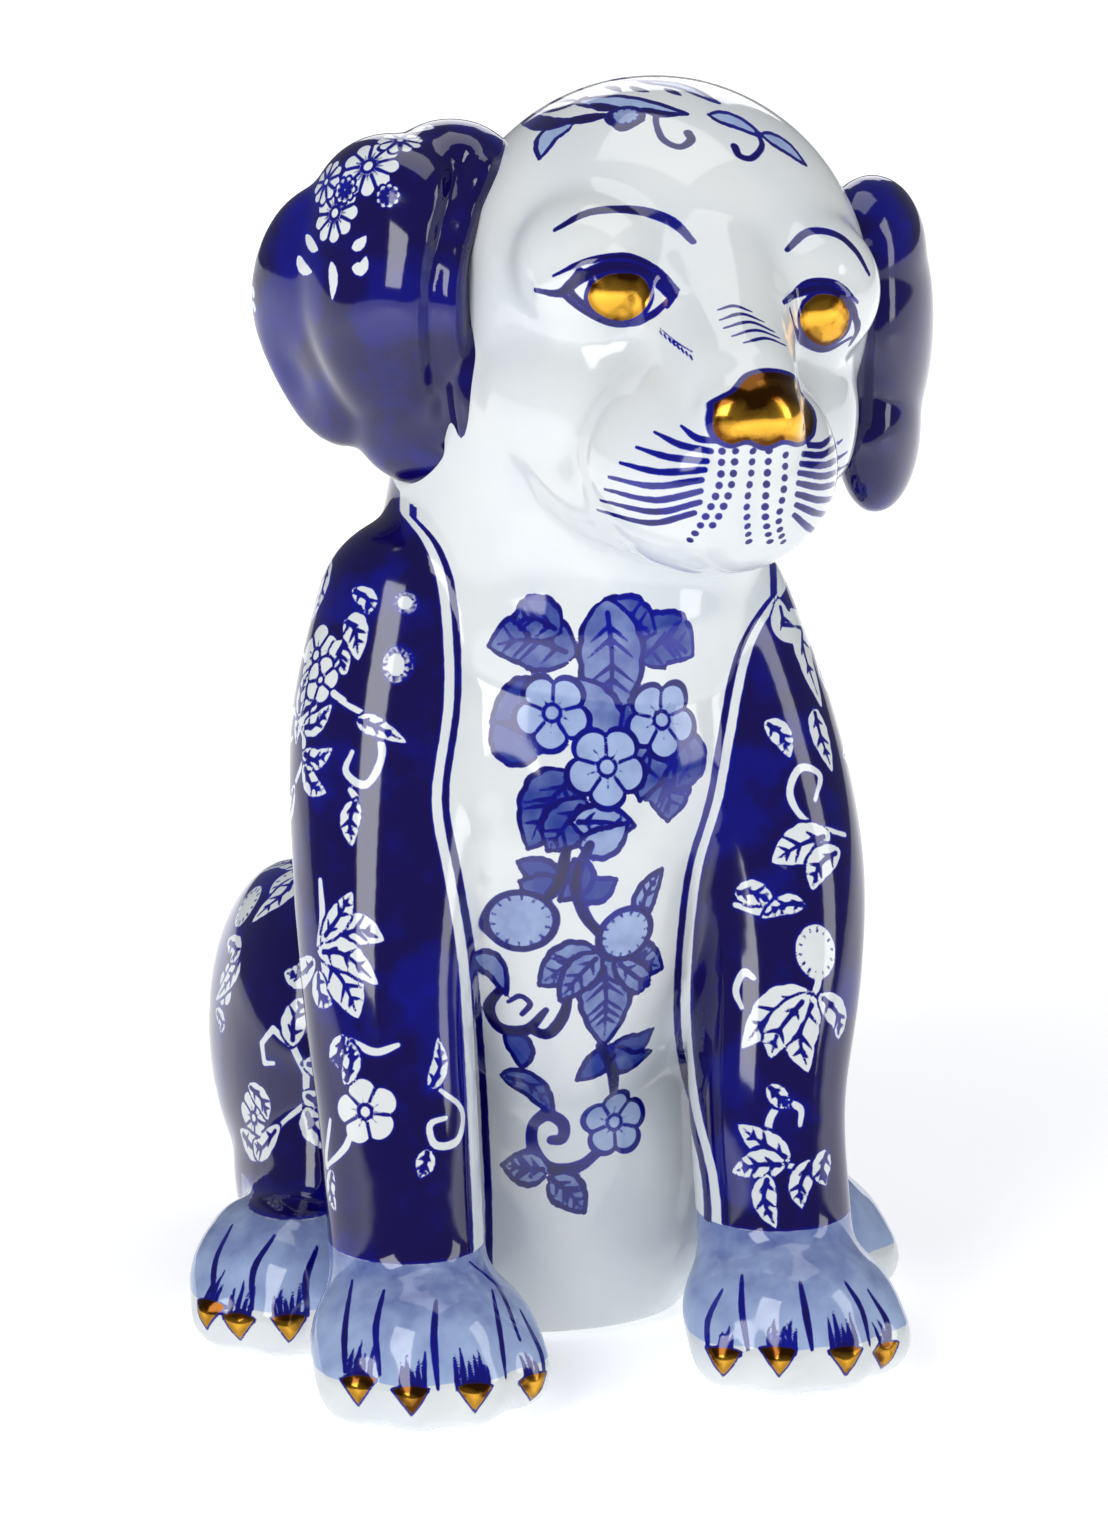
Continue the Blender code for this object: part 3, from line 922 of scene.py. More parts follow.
def torso_ground(points, normals, found):
    x, y, z = points.T
    right, left = by_height(right_path, z), by_height(left_path, z)
    sideways = points @ np.array(across)
    inside = np.minimum(sideways - right, left - sideways) / MM
    inside = np.where(y < PANEL_BACK, inside, -FAR)
    round_neck = np.clip((y - COLLAR_FRONT) / COLLAR_RUN, 0, 1)
    collar = COLLAR_RIGHT + (COLLAR_BACK - COLLAR_RIGHT) * round_neck
    above = (z - collar) / MM
    white = np.maximum(inside, above)
    front = np.where(y < FRONT_PAW_BACK, (PAW_TOP_FRONT - z) / MM, -FAR)
    hind = np.where((y < HIND_PAW_BACK) & (np.abs(x) > HIND_PAW_SIDE), (PAW_TOP_HIND - z) / MM, -FAR)
    paw = np.maximum(front, hind)
    foot = (FOOT_TOP - z) / MM
    found["cobalt"][:] = np.maximum(np.maximum(white, paw), foot)
    line = np.abs(np.minimum(inside, FAR) - LINE_INSET) - LINE_HALF_WIDTH
    line = np.maximum(line, -np.minimum(z - LINE_FOOT, MM) / MM)
    line = np.where((above < 0) & (paw < 0.5), line, FAR)
    found["cobalt"][:] = np.minimum(found["cobalt"], line)
    on_paw = np.maximum(-paw, (WASH_FOOT - z) / MM)
    on_paw = np.where((inside < 1.0) | (y < CHEST_FOOT), on_paw, FAR)
    found["wash"][:] = on_paw
    found["tone"][:] = np.clip(0.12 + 0.5 * (z - 0.012) / 0.02, 0.1, 0.55)


torso_paint = Painting(torso_ground)
torso = Brush(torso_paint, body_tree)

# %% [markdown]
# The chest spray: leaves, three blossoms, sickle leaves, two fruits and a scroll hang in
# one line down the panel. It is painted back to front, as the painter does, so each new
# petal covers the leaf behind it.

# %% Chest spray
LEAVES = (
    # spine, width in mm, veins, strength of wash
    (((4.1, 21.5), (-4.7, 24.5), (-12.8, 23.3)), 12, 4, 0.75),
    (((1.2, 26.1), (-3.8, 28.8), (-7.7, 28.0)), 9, 3, 0.8),
    (((17.0, 20.5), (22.5, 24.5), (27.3, 21.5)), 12, 4, 0.8),
    (((9.1, 24.5), (14.6, 28.0), (19.9, 26.1)), 11, 3, 0.8),
    (((10.3, 32.4), (11.5, 19.6), (10.3, 5.1)), 13, 5, 0.65),
    (((-1.8, 14.6), (-6.7, 12.6), (-12.2, 8.3)), 8, 0, 0.95),
    (((-2.8, 2.4), (-8.7, 3.8), (-11.9, 8.3)), 7, 0, 0.95),
    (((4.1, -2.2), (-1.2, -8.1), (-5.1, -16.6)), 12, 4, 0.8),
    (((6.1, -7.1), (1.6, -13.0), (-1.2, -17.0)), 9, 3, 0.8),
    (((19.0, -1.2), (22.5, -5.1), (22.5, -11.1)), 11, 4, 0.8),
    (((24.9, 5.7), (26.9, 0.8), (23.9, -5.1)), 8, 2, 0.9),
    (((4.1, 16.6), (9.1, 8.7), (17.0, -0.2)), 10, 0, 0.6),
    (((15.0, 12.6), (19.0, 2.8), (17.0, -7.1)), 11, 3, 0.75),
    (((3.6, -11.5), (9.9, -11.5), (15.8, -12.2)), 7, 2, 0.4),
    (((5.1, -16.0), (10.3, -15.4), (14.6, -11.9)), 6, 0, 0.4),
)
BLOSSOMS = (((-0.4, 10.1), 7.6), ((21.3, 8.7), 7.8), ((10.5, -0.6), 8.2))
for spine, width, veins, tone in LEAVES:
    torso.leaf(spine, width, "spray", veins, tone)
for point, size in BLOSSOMS:
    torso.blossom(point, size, "spray", turn=0.9)

SICKLES = (
    ((1.2, -23.3), (-2.8, -21.3), (-7.1, -19.4)), ((1.2, -23.3), (-3.6, -24.5), (-6.7, -23.3)),
    ((2.4, -22.9), (8.1, -24.9), (12.2, -22.9)), ((4.1, -19.0), (5.1, -22.9), (1.2, -26.9)),
    ((11.1, -56.1), (16.0, -55.5), (19.4, -52.5)), ((11.5, -56.1), (14.0, -58.9), (19.0, -56.9)),
    ((11.1, -55.7), (8.3, -59.6), (4.7, -62.4)), ((-9.5, -52.9), (-6.7, -56.1), (-6.3, -60.0)),
)
for spine in SICKLES:
    torso.leaf(spine, 5.4, "spray", 0, 0.9)
STEMS = (
    ((7.1, -16.0), (4.3, -22.9), (6.1, -29.8), (10.3, -34.8)),
    ((2.4, -17.0), (1.2, -22.9), (-1.8, -26.9)),
    ((9.1, -37.7), (10.3, -43.6), (9.9, -53.5)), ((9.1, -55.5), (11.5, -60.4), (11.9, -65.4)),
    ((9.9, -75.4), (5.1, -79.4), (-0.8, -79.8), (-4.1, -75.8), (-4.0, -71.1), (-0.8, -67.9)),
    ((-4.0, -71.1), (-1.2, -69.3), (1.8, -71.1), (1.6, -73.9), (-0.6, -74.3)),
    ((-4.7, -52.5), (-1.2, -53.3), (1.6, -50.2), (2.8, -46.6)),
)
for spine in STEMS:
    torso.lay(spine, (2.0, 2.6, 1.8))
torso.lay(((-9.7, -43.6), (-12.8, -47.8), (-10.7, -52.1), (-5.5, -52.5), (-1.6, -48.6)),
          (1.6, 2.8, 1.4))
torso.lay(((-9.1, -47.0), (-6.7, -45.8), (-4.7, -47.4), (-6.3, -49.4)), (0.9, 1.2, 1.2))
LOWER = (
    (((9.9, -38.7), (10.3, -46.6), (9.9, -55.3)), 11, 5, 0.6),
    (((9.1, -38.3), (2.8, -39.7), (-2.8, -43.6)), 9, 4, 0.6),
    (((11.5, -38.3), (17.0, -38.7), (21.3, -40.3)), 8, 4, 0.6),
    (((9.1, -37.7), (5.1, -41.7), (1.2, -46.6)), 7, 3, 0.6),
    (((12.0, -38.7), (17.0, -42.7), (18.6, -43.6)), 6, 3, 0.6),
    (((-15.8, -38.1), (-11.9, -39.9), (-9.5, -45.4)), 4.5, 0, 0.6),
    (((-10.3, -61.6), (-4.7, -63.4), (-0.4, -68.7)), 6, 3, 0.8),
    (((-1.2, -80.2), (-5.7, -79.8), (-10.1, -79.2)), 7, 4, 0.5),
    (((-0.8, -81.8), (2.8, -84.5), (5.9, -88.5)), 7, 4, 0.6),
    (((17.0, -30.8), (18.2, -25.9), (21.3, -20.9)), 5, 3, 0.45),
)
for spine, width, veins, tone in LOWER:
    torso.leaf(spine, width, "spray", veins, tone)
torso.fruit((-6.7, -31.0), 7.2, 5.8, 0.2, "spray", 0.35)
torso.fruit((14.2, -33.6), 5.8, 5.0, 0.5, "spray", 0.3)
torso.blossom((11.9, -70.7), 6.8, "spray", turn=0.3)

# %% [markdown]
# The marks on the cobalt are left white: the painter keeps the ground off them, and draws
# the veins back in. Scrolls are white brush lines that curl.

# %% Reserved marks on the legs
WHITE_BLOSSOMS = (((-37.3, -68.7), 6.4), ((-47.0, 21.5), 6.2), ((-64.8, -43.6), 4.6),
                  ((-59.3, -69.9), 5.4))
WHITE_FRUITS = (((-51.6, -22.9), 4.4, 5.6), ((51.9, -37.1), 4.4, 5.4), ((-29.4, 31.8), 2.4, 2.2),
                ((-30.8, 19.9), 3.0, 3.6), ((-31.2, 19.6), 2.6, 3.6))
WHITE_LEAVES = (
    (((-44.2, -36.7), (-39.3, -32.8), (-33.6, -34.8)), 7),
    (((-45.8, -37.7), (-41.3, -43.6), (-38.7, -50.2)), 8),
    (((-46.6, -37.1), (-41.3, -37.7), (-34.8, -43.6)), 6),
    (((-47.2, -38.7), (-50.2, -41.7), (-53.3, -41.1)), 6),
    (((-45.8, -34.8), (-42.3, -29.8), (-39.9, -25.3)), 5),
    (((-46.6, -40.7), (-46.2, -45.6), (-43.8, -47.6)), 5),
    (((-41.3, -53.5), (-42.7, -57.5), (-42.7, -60.0)), 5),
    (((-41.3, -63.4), (-39.9, -58.5), (-40.3, -54.9)), 4),
    (((-24.5, -64.4), (-22.5, -59.5), (-22.9, -54.1)), 4),
    (((-24.9, -76.2), (-25.5, -79.2), (-26.5, -81.8)), 4),
    (((-43.8, -80.2), (-44.2, -84.1), (-43.1, -88.5)), 4.5),
    (((-39.1, -7.1), (-40.3, -11.1), (-39.9, -16.2)), 4.5),
    (((-41.3, 24.5), (-42.3, 21.5), (-41.1, 17.6)), 6), (((-39.1, 8.7), (-35.4, 7.5), (-29.2, 4.3)), 4),
    (((-39.9, 34.4), (-36.7, 32.4), (-37.1, 29.2)), 4),
    (((-41.3, 28.4), (-39.3, 26.5), (-38.7, 20.5)), 6),
    (((-46.6, 12.6), (-50.2, 9.1), (-51.0, 3.8)), 5),
    (((-44.2, 40.3), (-45.8, 34.4), (-47.8, 28.4)), 5),
    (((50.6, 34.8), (49.0, 24.5), (52.9, 11.1)), 8), (((56.1, 12.6), (56.9, 6.7), (59.6, -0.2)), 6),
    (((41.7, 8.3), (45.0, 5.7), (46.6, 1.2)), 5), (((54.5, -14.0), (48.6, -16.0), (43.1, -19.4)), 8),
    (((56.5, -17.0), (52.5, -19.9), (51.0, -24.9)), 6),
    (((35.7, -25.5), (39.7, -25.5), (43.6, -27.8)), 5),
    (((49.6, -27.8), (45.6, -27.8), (41.1, -30.4)), 4),
    (((51.0, -45.6), (43.6, -48.6), (37.1, -56.1)), 8),
    (((51.6, -46.2), (48.6, -53.5), (50.2, -60.8)), 8),
    (((52.5, -45.6), (56.1, -49.6), (56.1, -54.5)), 6),
    (((50.2, -45.6), (44.6, -52.5), (42.7, -58.1)), 6),
    (((42.3, -63.4), (44.6, -66.0), (46.6, -67.9)), 4),
    (((46.6, -78.2), (41.7, -75.3), (36.3, -71.3)), 6),
    (((45.6, -79.2), (40.3, -79.2), (35.2, -80.6)), 6),
    (((51.0, -78.2), (48.6, -83.2), (49.0, -87.7)), 5),
    (((54.1, -76.2), (52.9, -80.2), (53.7, -83.2)), 5),
    (((42.3, -81.2), (41.5, -86.1), (43.8, -91.6)), 5),
    (((-62.0, -38.7), (-63.6, -41.7), (-66.8, -46.6)), 5),
    (((-60.4, -63.4), (-57.7, -66.4), (-56.5, -70.3)), 5),
    (((-62.0, -72.3), (-58.9, -76.2), (-55.7, -74.3)), 5),
    (((-64.4, -34.8), (-62.8, -36.7), (-64.0, -39.1)), 5),
    (((-66.8, -48.6), (-65.6, -51.0), (-66.0, -52.9)), 4),
)
WHITE_SCROLLS = (
    ((-42.3, 12.6), (-35.9, 8.3), (-34.0, 1.8), (-37.1, -4.1), (-41.1, -1.6), (-39.9, 2.4)),
    ((-40.3, -5.1), (-39.1, -7.1), (-39.5, -10.1)), ((-40.3, -54.5), (-35.4, -56.9), (-30.8, -55.5)),
    ((-22.5, -64.4), (-18.2, -68.3), (-19.0, -74.3), (-23.3, -75.3), (-24.5, -71.3), (-21.3, -69.9)),
    ((-44.2, -70.3), (-45.0, -78.2), (-43.8, -82.2)), ((-44.6, -79.2), (-41.3, -75.8), (-39.9, -72.3)),
    ((51.6, -7.1), (52.5, -2.2), (48.6, -0.8), (46.6, -6.1), (50.2, -11.5), (57.5, -14.0)),
    ((37.1, -48.2), (35.9, -44.6), (37.5, -41.1), (39.5, -42.3)),
    ((48.6, -71.3), (48.6, -67.9), (44.6, -67.4), (42.3, -71.9), (44.6, -78.2), (51.0, -80.6)),
    ((-46.2, -22.9), (-45.8, -29.8), (-46.6, -35.7)), ((52.5, -40.3), (52.1, -43.6), (51.0, -46.2)),
    ((35.7, -27.8), (40.7, -29.2), (44.6, -28.4)), ((-50.2, 22.5), (-44.2, 14.6), (-41.3, 12.6)),
)
for point, size in WHITE_BLOSSOMS:
    torso.blossom(point, size, "reserve", turn=0.6)
for point, wide, tall in WHITE_FRUITS:
    torso.fruit(point, wide, tall, 0.0, "reserve")
for spine in WHITE_SCROLLS:
    torso.lay(spine, (0.9, 1.5, 0.9), "lift")
for spine, width in WHITE_LEAVES:
    torso.leaf(spine, width, "reserve", 3)

# %% [markdown]
# Paws: short dark strokes mark the toes, and each claw is a gold triangle edged in blue.

# %% Toes and claws
TOE_LINES = (
    ((-33.6, -103.9), (-35.2, -111.8), (-34.4, -120.7)),
    ((-23.3, -105.9), (-23.7, -113.8), (-22.9, -123.6)),
    ((-12.2, -103.9), (-10.7, -111.8), (-9.5, -121.3)),
    ((-16.6, -98.4), (-10.7, -103.9), (-6.7, -113.8)),
    ((-39.9, -101.9), (-41.3, -111.8), (-41.3, -120.1)),
    ((-6.7, -107.8), (-2.8, -115.7), (-1.8, -120.7)),
    ((37.1, -100.9), (37.1, -107.8), (38.3, -115.7)), ((48.6, -102.3), (49.8, -108.8), (51.0, -115.7)),
    ((57.5, -102.3), (60.8, -107.8), (62.4, -114.8)), ((33.2, -103.9), (30.4, -109.8), (30.4, -115.7)),
    ((62.0, -103.9), (65.6, -109.8), (66.4, -114.8)),
    ((-63.6, -91.1), (-66.8, -98.0), (-67.5, -105.9)),
    ((-55.1, -93.0), (-59.3, -99.9), (-59.6, -107.8)),
    ((-46.6, -95.0), (-49.0, -101.9), (-48.6, -108.8)),
)
# Strokes above each claw, in the order of CLAWS_SEEN.
FRINGE_STROKES = (4, 5, 6, 3, 3, 6, 5, 2, 3, 4, 6)
for line in TOE_LINES:
    torso.lay(line, (0.7, 1.5, 0.8))
for point, count in zip(CLAWS_SEEN, FRINGE_STROKES):
    spot = torso.spot(point)
    for step in range(count):
        x = (step - (count - 1) / 2) * 1.35
        top = 8.6 + 1.6 * math.sin(step * 2.1)
        torso.lay(torso.local(spot, ((x, 2.6), (x * 1.05, top / 1.4), (x * 1.1, top))), (1.2, 0.9, 0.3))
    torso.lay(torso.local(spot, ((-3.4, 1.2), (0, 3.0), (3.4, 1.2))), (0.8, 1.3, 0.8))
for point in CLAWS_SEEN:
    place, right, up = torso.spot(point)

    def claw(places, place=place, right=right, up=up):
        away = (places - place) / MM
        x, y = away @ right, away @ up
        return np.maximum(y - 2.4 + 0.06 * x * x, np.abs(x) * 0.72 - (y + 3.2) * 0.5)

    facing = np.cross(right, up)
    path = torso.local((place, right, up), ((0, 0), (0.01, 0)))
    outline = lambda p, claw=claw: np.abs(claw(p)) - 0.35
    torso_paint.add(6 * MM, path, facing, claw, "gold")
    torso_paint.add(6 * MM, path, facing, outline, "cobalt")

# %% [markdown]
# The sides and back carry the same garden. A sprig is one function, placed by the
# direction it is seen from and its height. These have no model to follow.

# %% Sprigs round the back


def from_side(tree, azimuth, height):
    """The surface place met by a level line of sight from this side, at this height."""
    angle = math.radians(azimuth)
    outward = Vector((math.sin(angle), -math.cos(angle), 0))
    start = Vector((0, 0.015, height * MM)) + outward * 0.5
    place, normal, _, _ = tree.ray_cast(start, -outward)
    if place is None:
        place, normal, _, _ = tree.find_nearest(start)
    return frame_at(np.array(place), np.array(normal))


def sprig(brush, spot, lean, size, flower):
    """A scroll stem with a blossom or fruit, and leaves on both sides."""
    turn = math.radians(lean)

    def at(*pairs):
        turned_pairs = [(x * math.cos(turn) - y * math.sin(turn),
                         x * math.sin(turn) + y * math.cos(turn))
                        for x, y in pairs]
        return brush.local(spot, [(x * size, y * size) for x, y in turned_pairs])

    stem = at((-9, -15), (-3, -12), (2, -6), (1, 0), (-3, 5), (-9, 7), (-12, 3), (-10, -1), (-7, 0))
    brush.lay(stem, (0.8, 1.4, 0.8), "lift")
    for spine in (((1, -4), (7, -6), (13, -3)), ((2, -7), (6, -12), (12, -14)),
                  ((-3, -12), (-8, -18), (-15, -18)),
                  ((0, 2), (6, 3), (11, 8)), ((-3, 5), (-4, 11), (-1, 17))):
        brush.leaf(at(*spine), 5.6 * size, "reserve", 3)
    middle = at((5, 14), (5.01, 14))[0]
    place, normal, _, _ = brush.tree.find_nearest(Vector(middle))
    if flower:
        brush.blossom(frame_at(np.array(place), np.array(normal)), 5.8 * size, "reserve")
    else:
        brush.fruit(frame_at(np.array(place), np.array(normal)), 4 * size, 4.8 * size, 0.2, "reserve")


# Azimuth, height, lean and size of each sprig.
SPRIGS = (
    (-62, 126, 15, 0.8), (-75, 52, -10, 1.0), (-98, 128, 20, 0.9), (-110, 88, 200, 1.0),
    (-118, 40, 10, 1.0),
    (-140, 120, -15, 1.0), (-150, 70, 170, 1.1), (-165, 30, 0, 0.9), (178, 135, 10, 1.0),
    (172, 92, -20, 1.1),
    (150, 50, 185, 1.0), (145, 110, 15, 1.0), (120, 140, -10, 0.8), (112, 75, 20, 1.1),
    (95, 118, 190, 0.9),
    (100, 36, -15, 1.0), (72, 56, 10, 1.0), (66, 128, -15, 0.8), (-172, 158, 160, 0.8),
)
for count, (azimuth, height, lean, size) in enumerate(SPRIGS):
    sprig(torso, from_side(body_tree, azimuth, height), lean, size, count % 2 == 0)
print("torso marks", len(torso_paint.marks))

# %% [markdown]
# The head stays white, so every line counts: brows, lids, lashes, the wrinkles on the
# bridge of the nose, whiskers, and beaded lines under the gold nose. The wreath round the
# coin slot is painted last.

# %% Face


def head_ground(points, normals, found):
    found["tone"][:] = 0.4


head_paint = Painting(head_ground)
face = Brush(head_paint, body_tree)

BROWS = (((0.2, 105.5), (7.1, 109.0), (16.0, 109.4), (23.3, 107.1), (27.5, 103.1)),
         ((46.0, 101.5), (50.2, 105.1), (55.5, 104.7), (59.5, 101.5), (62.2, 96.8)))
face.lay(BROWS[0], (1.1, 2.5, 1.3))
face.lay(BROWS[1], (1.1, 2.2, 1.1))
EYE_LINES = (
    (((-3.8, 93.6), (1.2, 93.0), (5.1, 96.0), (11.5, 98.4), (18.0, 97.2), (23.3, 92.2)),
     (0.7, 1.8, 1.3)),
    (((1.2, 93.2), (6.1, 89.3), (12.6, 86.7), (19.0, 88.5), (23.3, 92.2)), (0.9, 1.1, 1.2)),
    (((-0.2, 96.4), (6.1, 99.2), (14.0, 100.3), (19.9, 98.0), (24.5, 93.6)), (0.4, 1.2, 0.6)),
    (((5.1, 97.6), (3.2, 93.6), (7.1, 89.7)), (0.9, 1.2, 0.9)),
    (((19.9, 96.6), (23.3, 93.6), (22.5, 90.7)), (1.4, 1.8, 1.2)),
    (((45.4, 91.2), (48.6, 93.2), (54.1, 94.0), (58.5, 90.7), (60.0, 87.3)), (0.8, 1.5, 0.9)),
    (((46.6, 89.7), (48.6, 84.1), (53.5, 81.8), (58.5, 84.1)), (0.8, 1.2, 0.8)),
    (((46.2, 92.0), (50.2, 95.2), (56.1, 94.8), (60.0, 91.2)), (0.4, 1.0, 0.5)),
    (((58.9, 89.7), (60.0, 86.1), (58.5, 82.8)), (0.9, 1.3, 0.8)),
)
for line, widths in EYE_LINES:
    face.lay(line, [1.4 * width for width in widths])


def lustre(brush, outline):
    """A patch of gold with a blue edge, inside a drawn closed outline."""
    flat = curve([*outline, outline[0]], 6)
    spots = [seen(p, brush.tree) for p in flat]
    path = np.array([s[0] for s in spots])
    facing = np.array([s[1] for s in spots]).mean(0)
    facing /= np.linalg.norm(facing)
    _, right, up = frame_at(path.mean(0), facing)
    middle = path.mean(0)
    ring = np.stack([(path - middle) @ right, (path - middle) @ up], 1)

    def shape(places):
        flat_places = np.stack([(places - middle) @ right, (places - middle) @ up], 1)
        gaps, _ = distance_to(flat_places, ring)
        inside = np.zeros(len(places), bool)
        for (x1, y1), (x2, y2) in zip(ring[:-1], ring[1:]):
            crosses = (y1 > flat_places[:, 1]) != (y2 > flat_places[:, 1])
            slope = (x2 - x1) * (flat_places[:, 1] - y1) / (y2 - y1 if y2 != y1 else 1e-12) + x1
            inside ^= crosses & (flat_places[:, 0] < slope)
        return np.where(inside, -gaps, gaps) / MM

    brush.painting.add(3 * MM, path, facing, shape, "gold")
    brush.painting.add(3 * MM, path, facing, lambda p: np.abs(shape(p) - 0.35) - 0.5, "cobalt")


lustre(face, ((7.5, 94.8), (11.5, 96.8), (17.0, 96.4), (19.0, 92.8), (17.0, 88.9), (12.6, 87.5),
              (8.3, 89.3), (6.7, 92.0)))
lustre(face, ((49.6, 90.9), (52.5, 92.8), (56.5, 92.0), (58.3, 88.9), (57.3, 84.9), (53.7, 82.6),
              (50.2, 84.1), (48.6, 87.7)))
lustre(face, ((31.6, 71.1), (33.6, 72.3), (35.7, 73.5), (38.7, 76.6), (43.1, 77.4), (47.4, 76.2),
              (49.0, 72.7), (51.2, 69.5),
              (51.0, 65.6), (48.6, 63.6), (45.4, 64.0), (41.9, 62.8), (38.3, 64.0), (34.8, 63.2),
              (31.6, 65.6)))
WRINKLES = (
    ((32.4, 89.7), (35.6, 90.5), (39.1, 89.3)), ((32.8, 87.7), (37.1, 88.9), (41.5, 87.3)),
    ((33.6, 86.1), (38.7, 87.3), (43.6, 85.3)),
    ((35.2, 84.5), (39.9, 85.7), (44.6, 84.1)), ((37.5, 83.2), (41.9, 84.1), (45.8, 82.6)),
)
for line in WRINKLES:
    face.lay(line, (0.5, 0.9, 0.4))
TINY_START = (20.9, 85.5)
for step in range(8):
    x = TINY_START[0] + 0.85 * step
    y = TINY_START[1] - 0.68 * step
    face.lay(((x, y), (x + 0.5, y - 0.9)), (0.5, 0.5, 0.3))
face.lay(((20.9, 86.1), (23.9, 83.5), (27.3, 81.4)), (0.3, 0.35, 0.3))

# Whiskers: root, bend and tip of each.
WHISKERS = (
    ((32.2, 63.8), (28.2, 64.4), (25.1, 66.8)), ((31.0, 61.8), (25.1, 63.0), (19.8, 65.6)),
    ((30.2, 59.8), (22.7, 60.6), (16.2, 62.6)),
    ((29.8, 58.1), (20.7, 57.7), (13.0, 59.5)), ((29.2, 56.1), (19.6, 54.9), (10.7, 56.7)),
    ((29.0, 53.9), (19.9, 52.1), (9.9, 54.3)),
    ((28.8, 51.7), (19.9, 49.8), (9.1, 52.1)), ((27.7, 49.6), (19.0, 47.6), (8.5, 50.2)),
    ((50.2, 63.0), (52.9, 63.0), (54.9, 64.8)), ((49.2, 61.2), (53.3, 61.2), (56.9, 64.0)),
    ((48.8, 59.3), (53.7, 59.1), (57.9, 61.6)),
    ((48.4, 57.5), (53.7, 56.9), (58.1, 59.3)), ((48.2, 55.5), (53.3, 54.7), (57.7, 56.7)),
    ((48.0, 53.3), (53.3, 52.1), (57.5, 53.9)),
    ((47.8, 51.2), (52.5, 49.4), (56.9, 50.4)), ((47.4, 49.2), (51.0, 46.2), (54.5, 45.2)),
)
for line in WHISKERS:
    face.lay(line, (1.2, 1.35, 0.6))
BEADS = (
    ((33.2, 61.8), (32.6, 54.9), (29.6, 48.2), (26.7, 44.0)),
    ((35.9, 61.8), (35.0, 54.9), (32.6, 49.0), (30.0, 45.6)),
    ((39.3, 61.8), (38.9, 57.1), (38.1, 50.6), (38.5, 43.6)),
    ((42.5, 61.8), (42.1, 56.9), (41.7, 49.4), (42.9, 42.7)),
    ((45.8, 61.0), (45.4, 54.1), (44.4, 48.2), (45.4, 43.3)),
)
for line in BEADS:
    face.dots(line, 1.5, 2.2)

# %% Wreath round the slot
WREATH_PALE = (
    ((-14.6, 130.0), (-8.7, 131.5), (-2.8, 131.5), 4), ((3.6, 126.4), (-0.8, 124.4), (-2.8, 119.7), 6),
    ((4.5, 130.9), (14.0, 130.6), (26.1, 128.4), 5),
    ((30.8, 128.2), (35.7, 127.0), (41.1, 124.0), 4.5),
    ((41.1, 124.4), (45.6, 122.1), (49.6, 118.5), 4.5),
    ((-1.2, 133.5), (7.1, 135.1), (17.0, 135.1), 3), ((17.0, 134.9), (24.9, 133.9), (32.4, 130.6), 3),
)
WREATH_DARK = (
    ((-7.3, 128.0), (-1.2, 126.4), (5.1, 127.4), 4.5), ((1.2, 126.8), (7.1, 127.6), (11.5, 128.4), 3.4),
    ((-6.3, 129.0), (-1.2, 130.8), (4.7, 131.1), 3),
    ((7.1, 130.4), (10.3, 129.6), (13.0, 129.8), 3), ((17.0, 129.6), (21.3, 128.4), (26.1, 128.4), 2.6),
    ((2.4, 134.3), (4.0, 133.5), (5.9, 133.1), 2),
    ((9.9, 133.9), (11.9, 133.5), (13.4, 132.7), 2), ((15.0, 133.9), (17.0, 133.1), (19.0, 132.7), 2),
    ((21.7, 133.5), (23.7, 132.7), (25.3, 131.9), 2),
)
WREATH_HOOKS = (
    ((20.1, 128.4), (20.3, 126.0), (21.7, 123.2), (24.9, 121.9), (27.1, 123.2), (26.5, 124.6)),
    ((40.1, 124.8), (41.1, 122.1), (39.1, 119.7), (36.7, 120.1), (35.7, 121.9)),
    ((-2.8, 128.8), (0.4, 129.2), (3.2, 130.2), (5.9, 131.5)),
)
for *spine, width in WREATH_PALE:
    face.leaf(spine, width, "spray", 0, 0.2)
for *spine, width in WREATH_DARK:
    face.leaf(spine, width, "dark", 0)
for spine in WREATH_HOOKS:
    face.lay(spine, (1.2, 1.5, 1.9))
face.fruit((14.0, 128.0), 3.4, 3.0, 0.0, "spray", 0.4, 10)
face.lay(((10.7, 128.0), (13.4, 125.4), (17.4, 127.2)), (1.2, 1.6, 1.2))
print("face marks", len(head_paint.marks))

# %% [markdown]
# The ears are cobalt all over. The right one has a posy of white daisies near its top,
# and each has a few more on the side that faces away.

# %% Ears


def ear_ground(points, normals, found):
    found["cobalt"][:] = -FAR


DAISIES = (((-43.3, 108.8), 6.0), ((-36.7, 118.1), 6.4), ((-45.0, 115.0), 4.6), ((-30.4, 123.2), 4.4),
           ((-41.3, 113.4), 2.6), ((-32.8, 112.2), 2.4))
LOOSE_PETALS = (
    (((-50.6, 100.3), (-49.6, 98.0), (-47.8, 97.2)), 2.8),
    (((-39.9, 98.0), (-37.9, 98.0), (-37.1, 100.3)), 2.8),
    (((-44.0, 99.2), (-43.6, 95.6), (-43.8, 91.6)), 2.6),
    (((-49.0, 104.5), (-47.8, 102.3), (-46.6, 101.5)), 2.4),
    (((-39.9, 101.9), (-38.3, 102.7), (-37.1, 104.3)), 2.4),
    (((-27.7, 124.8), (-25.7, 125.6), (-23.7, 125.6)), 3),
)
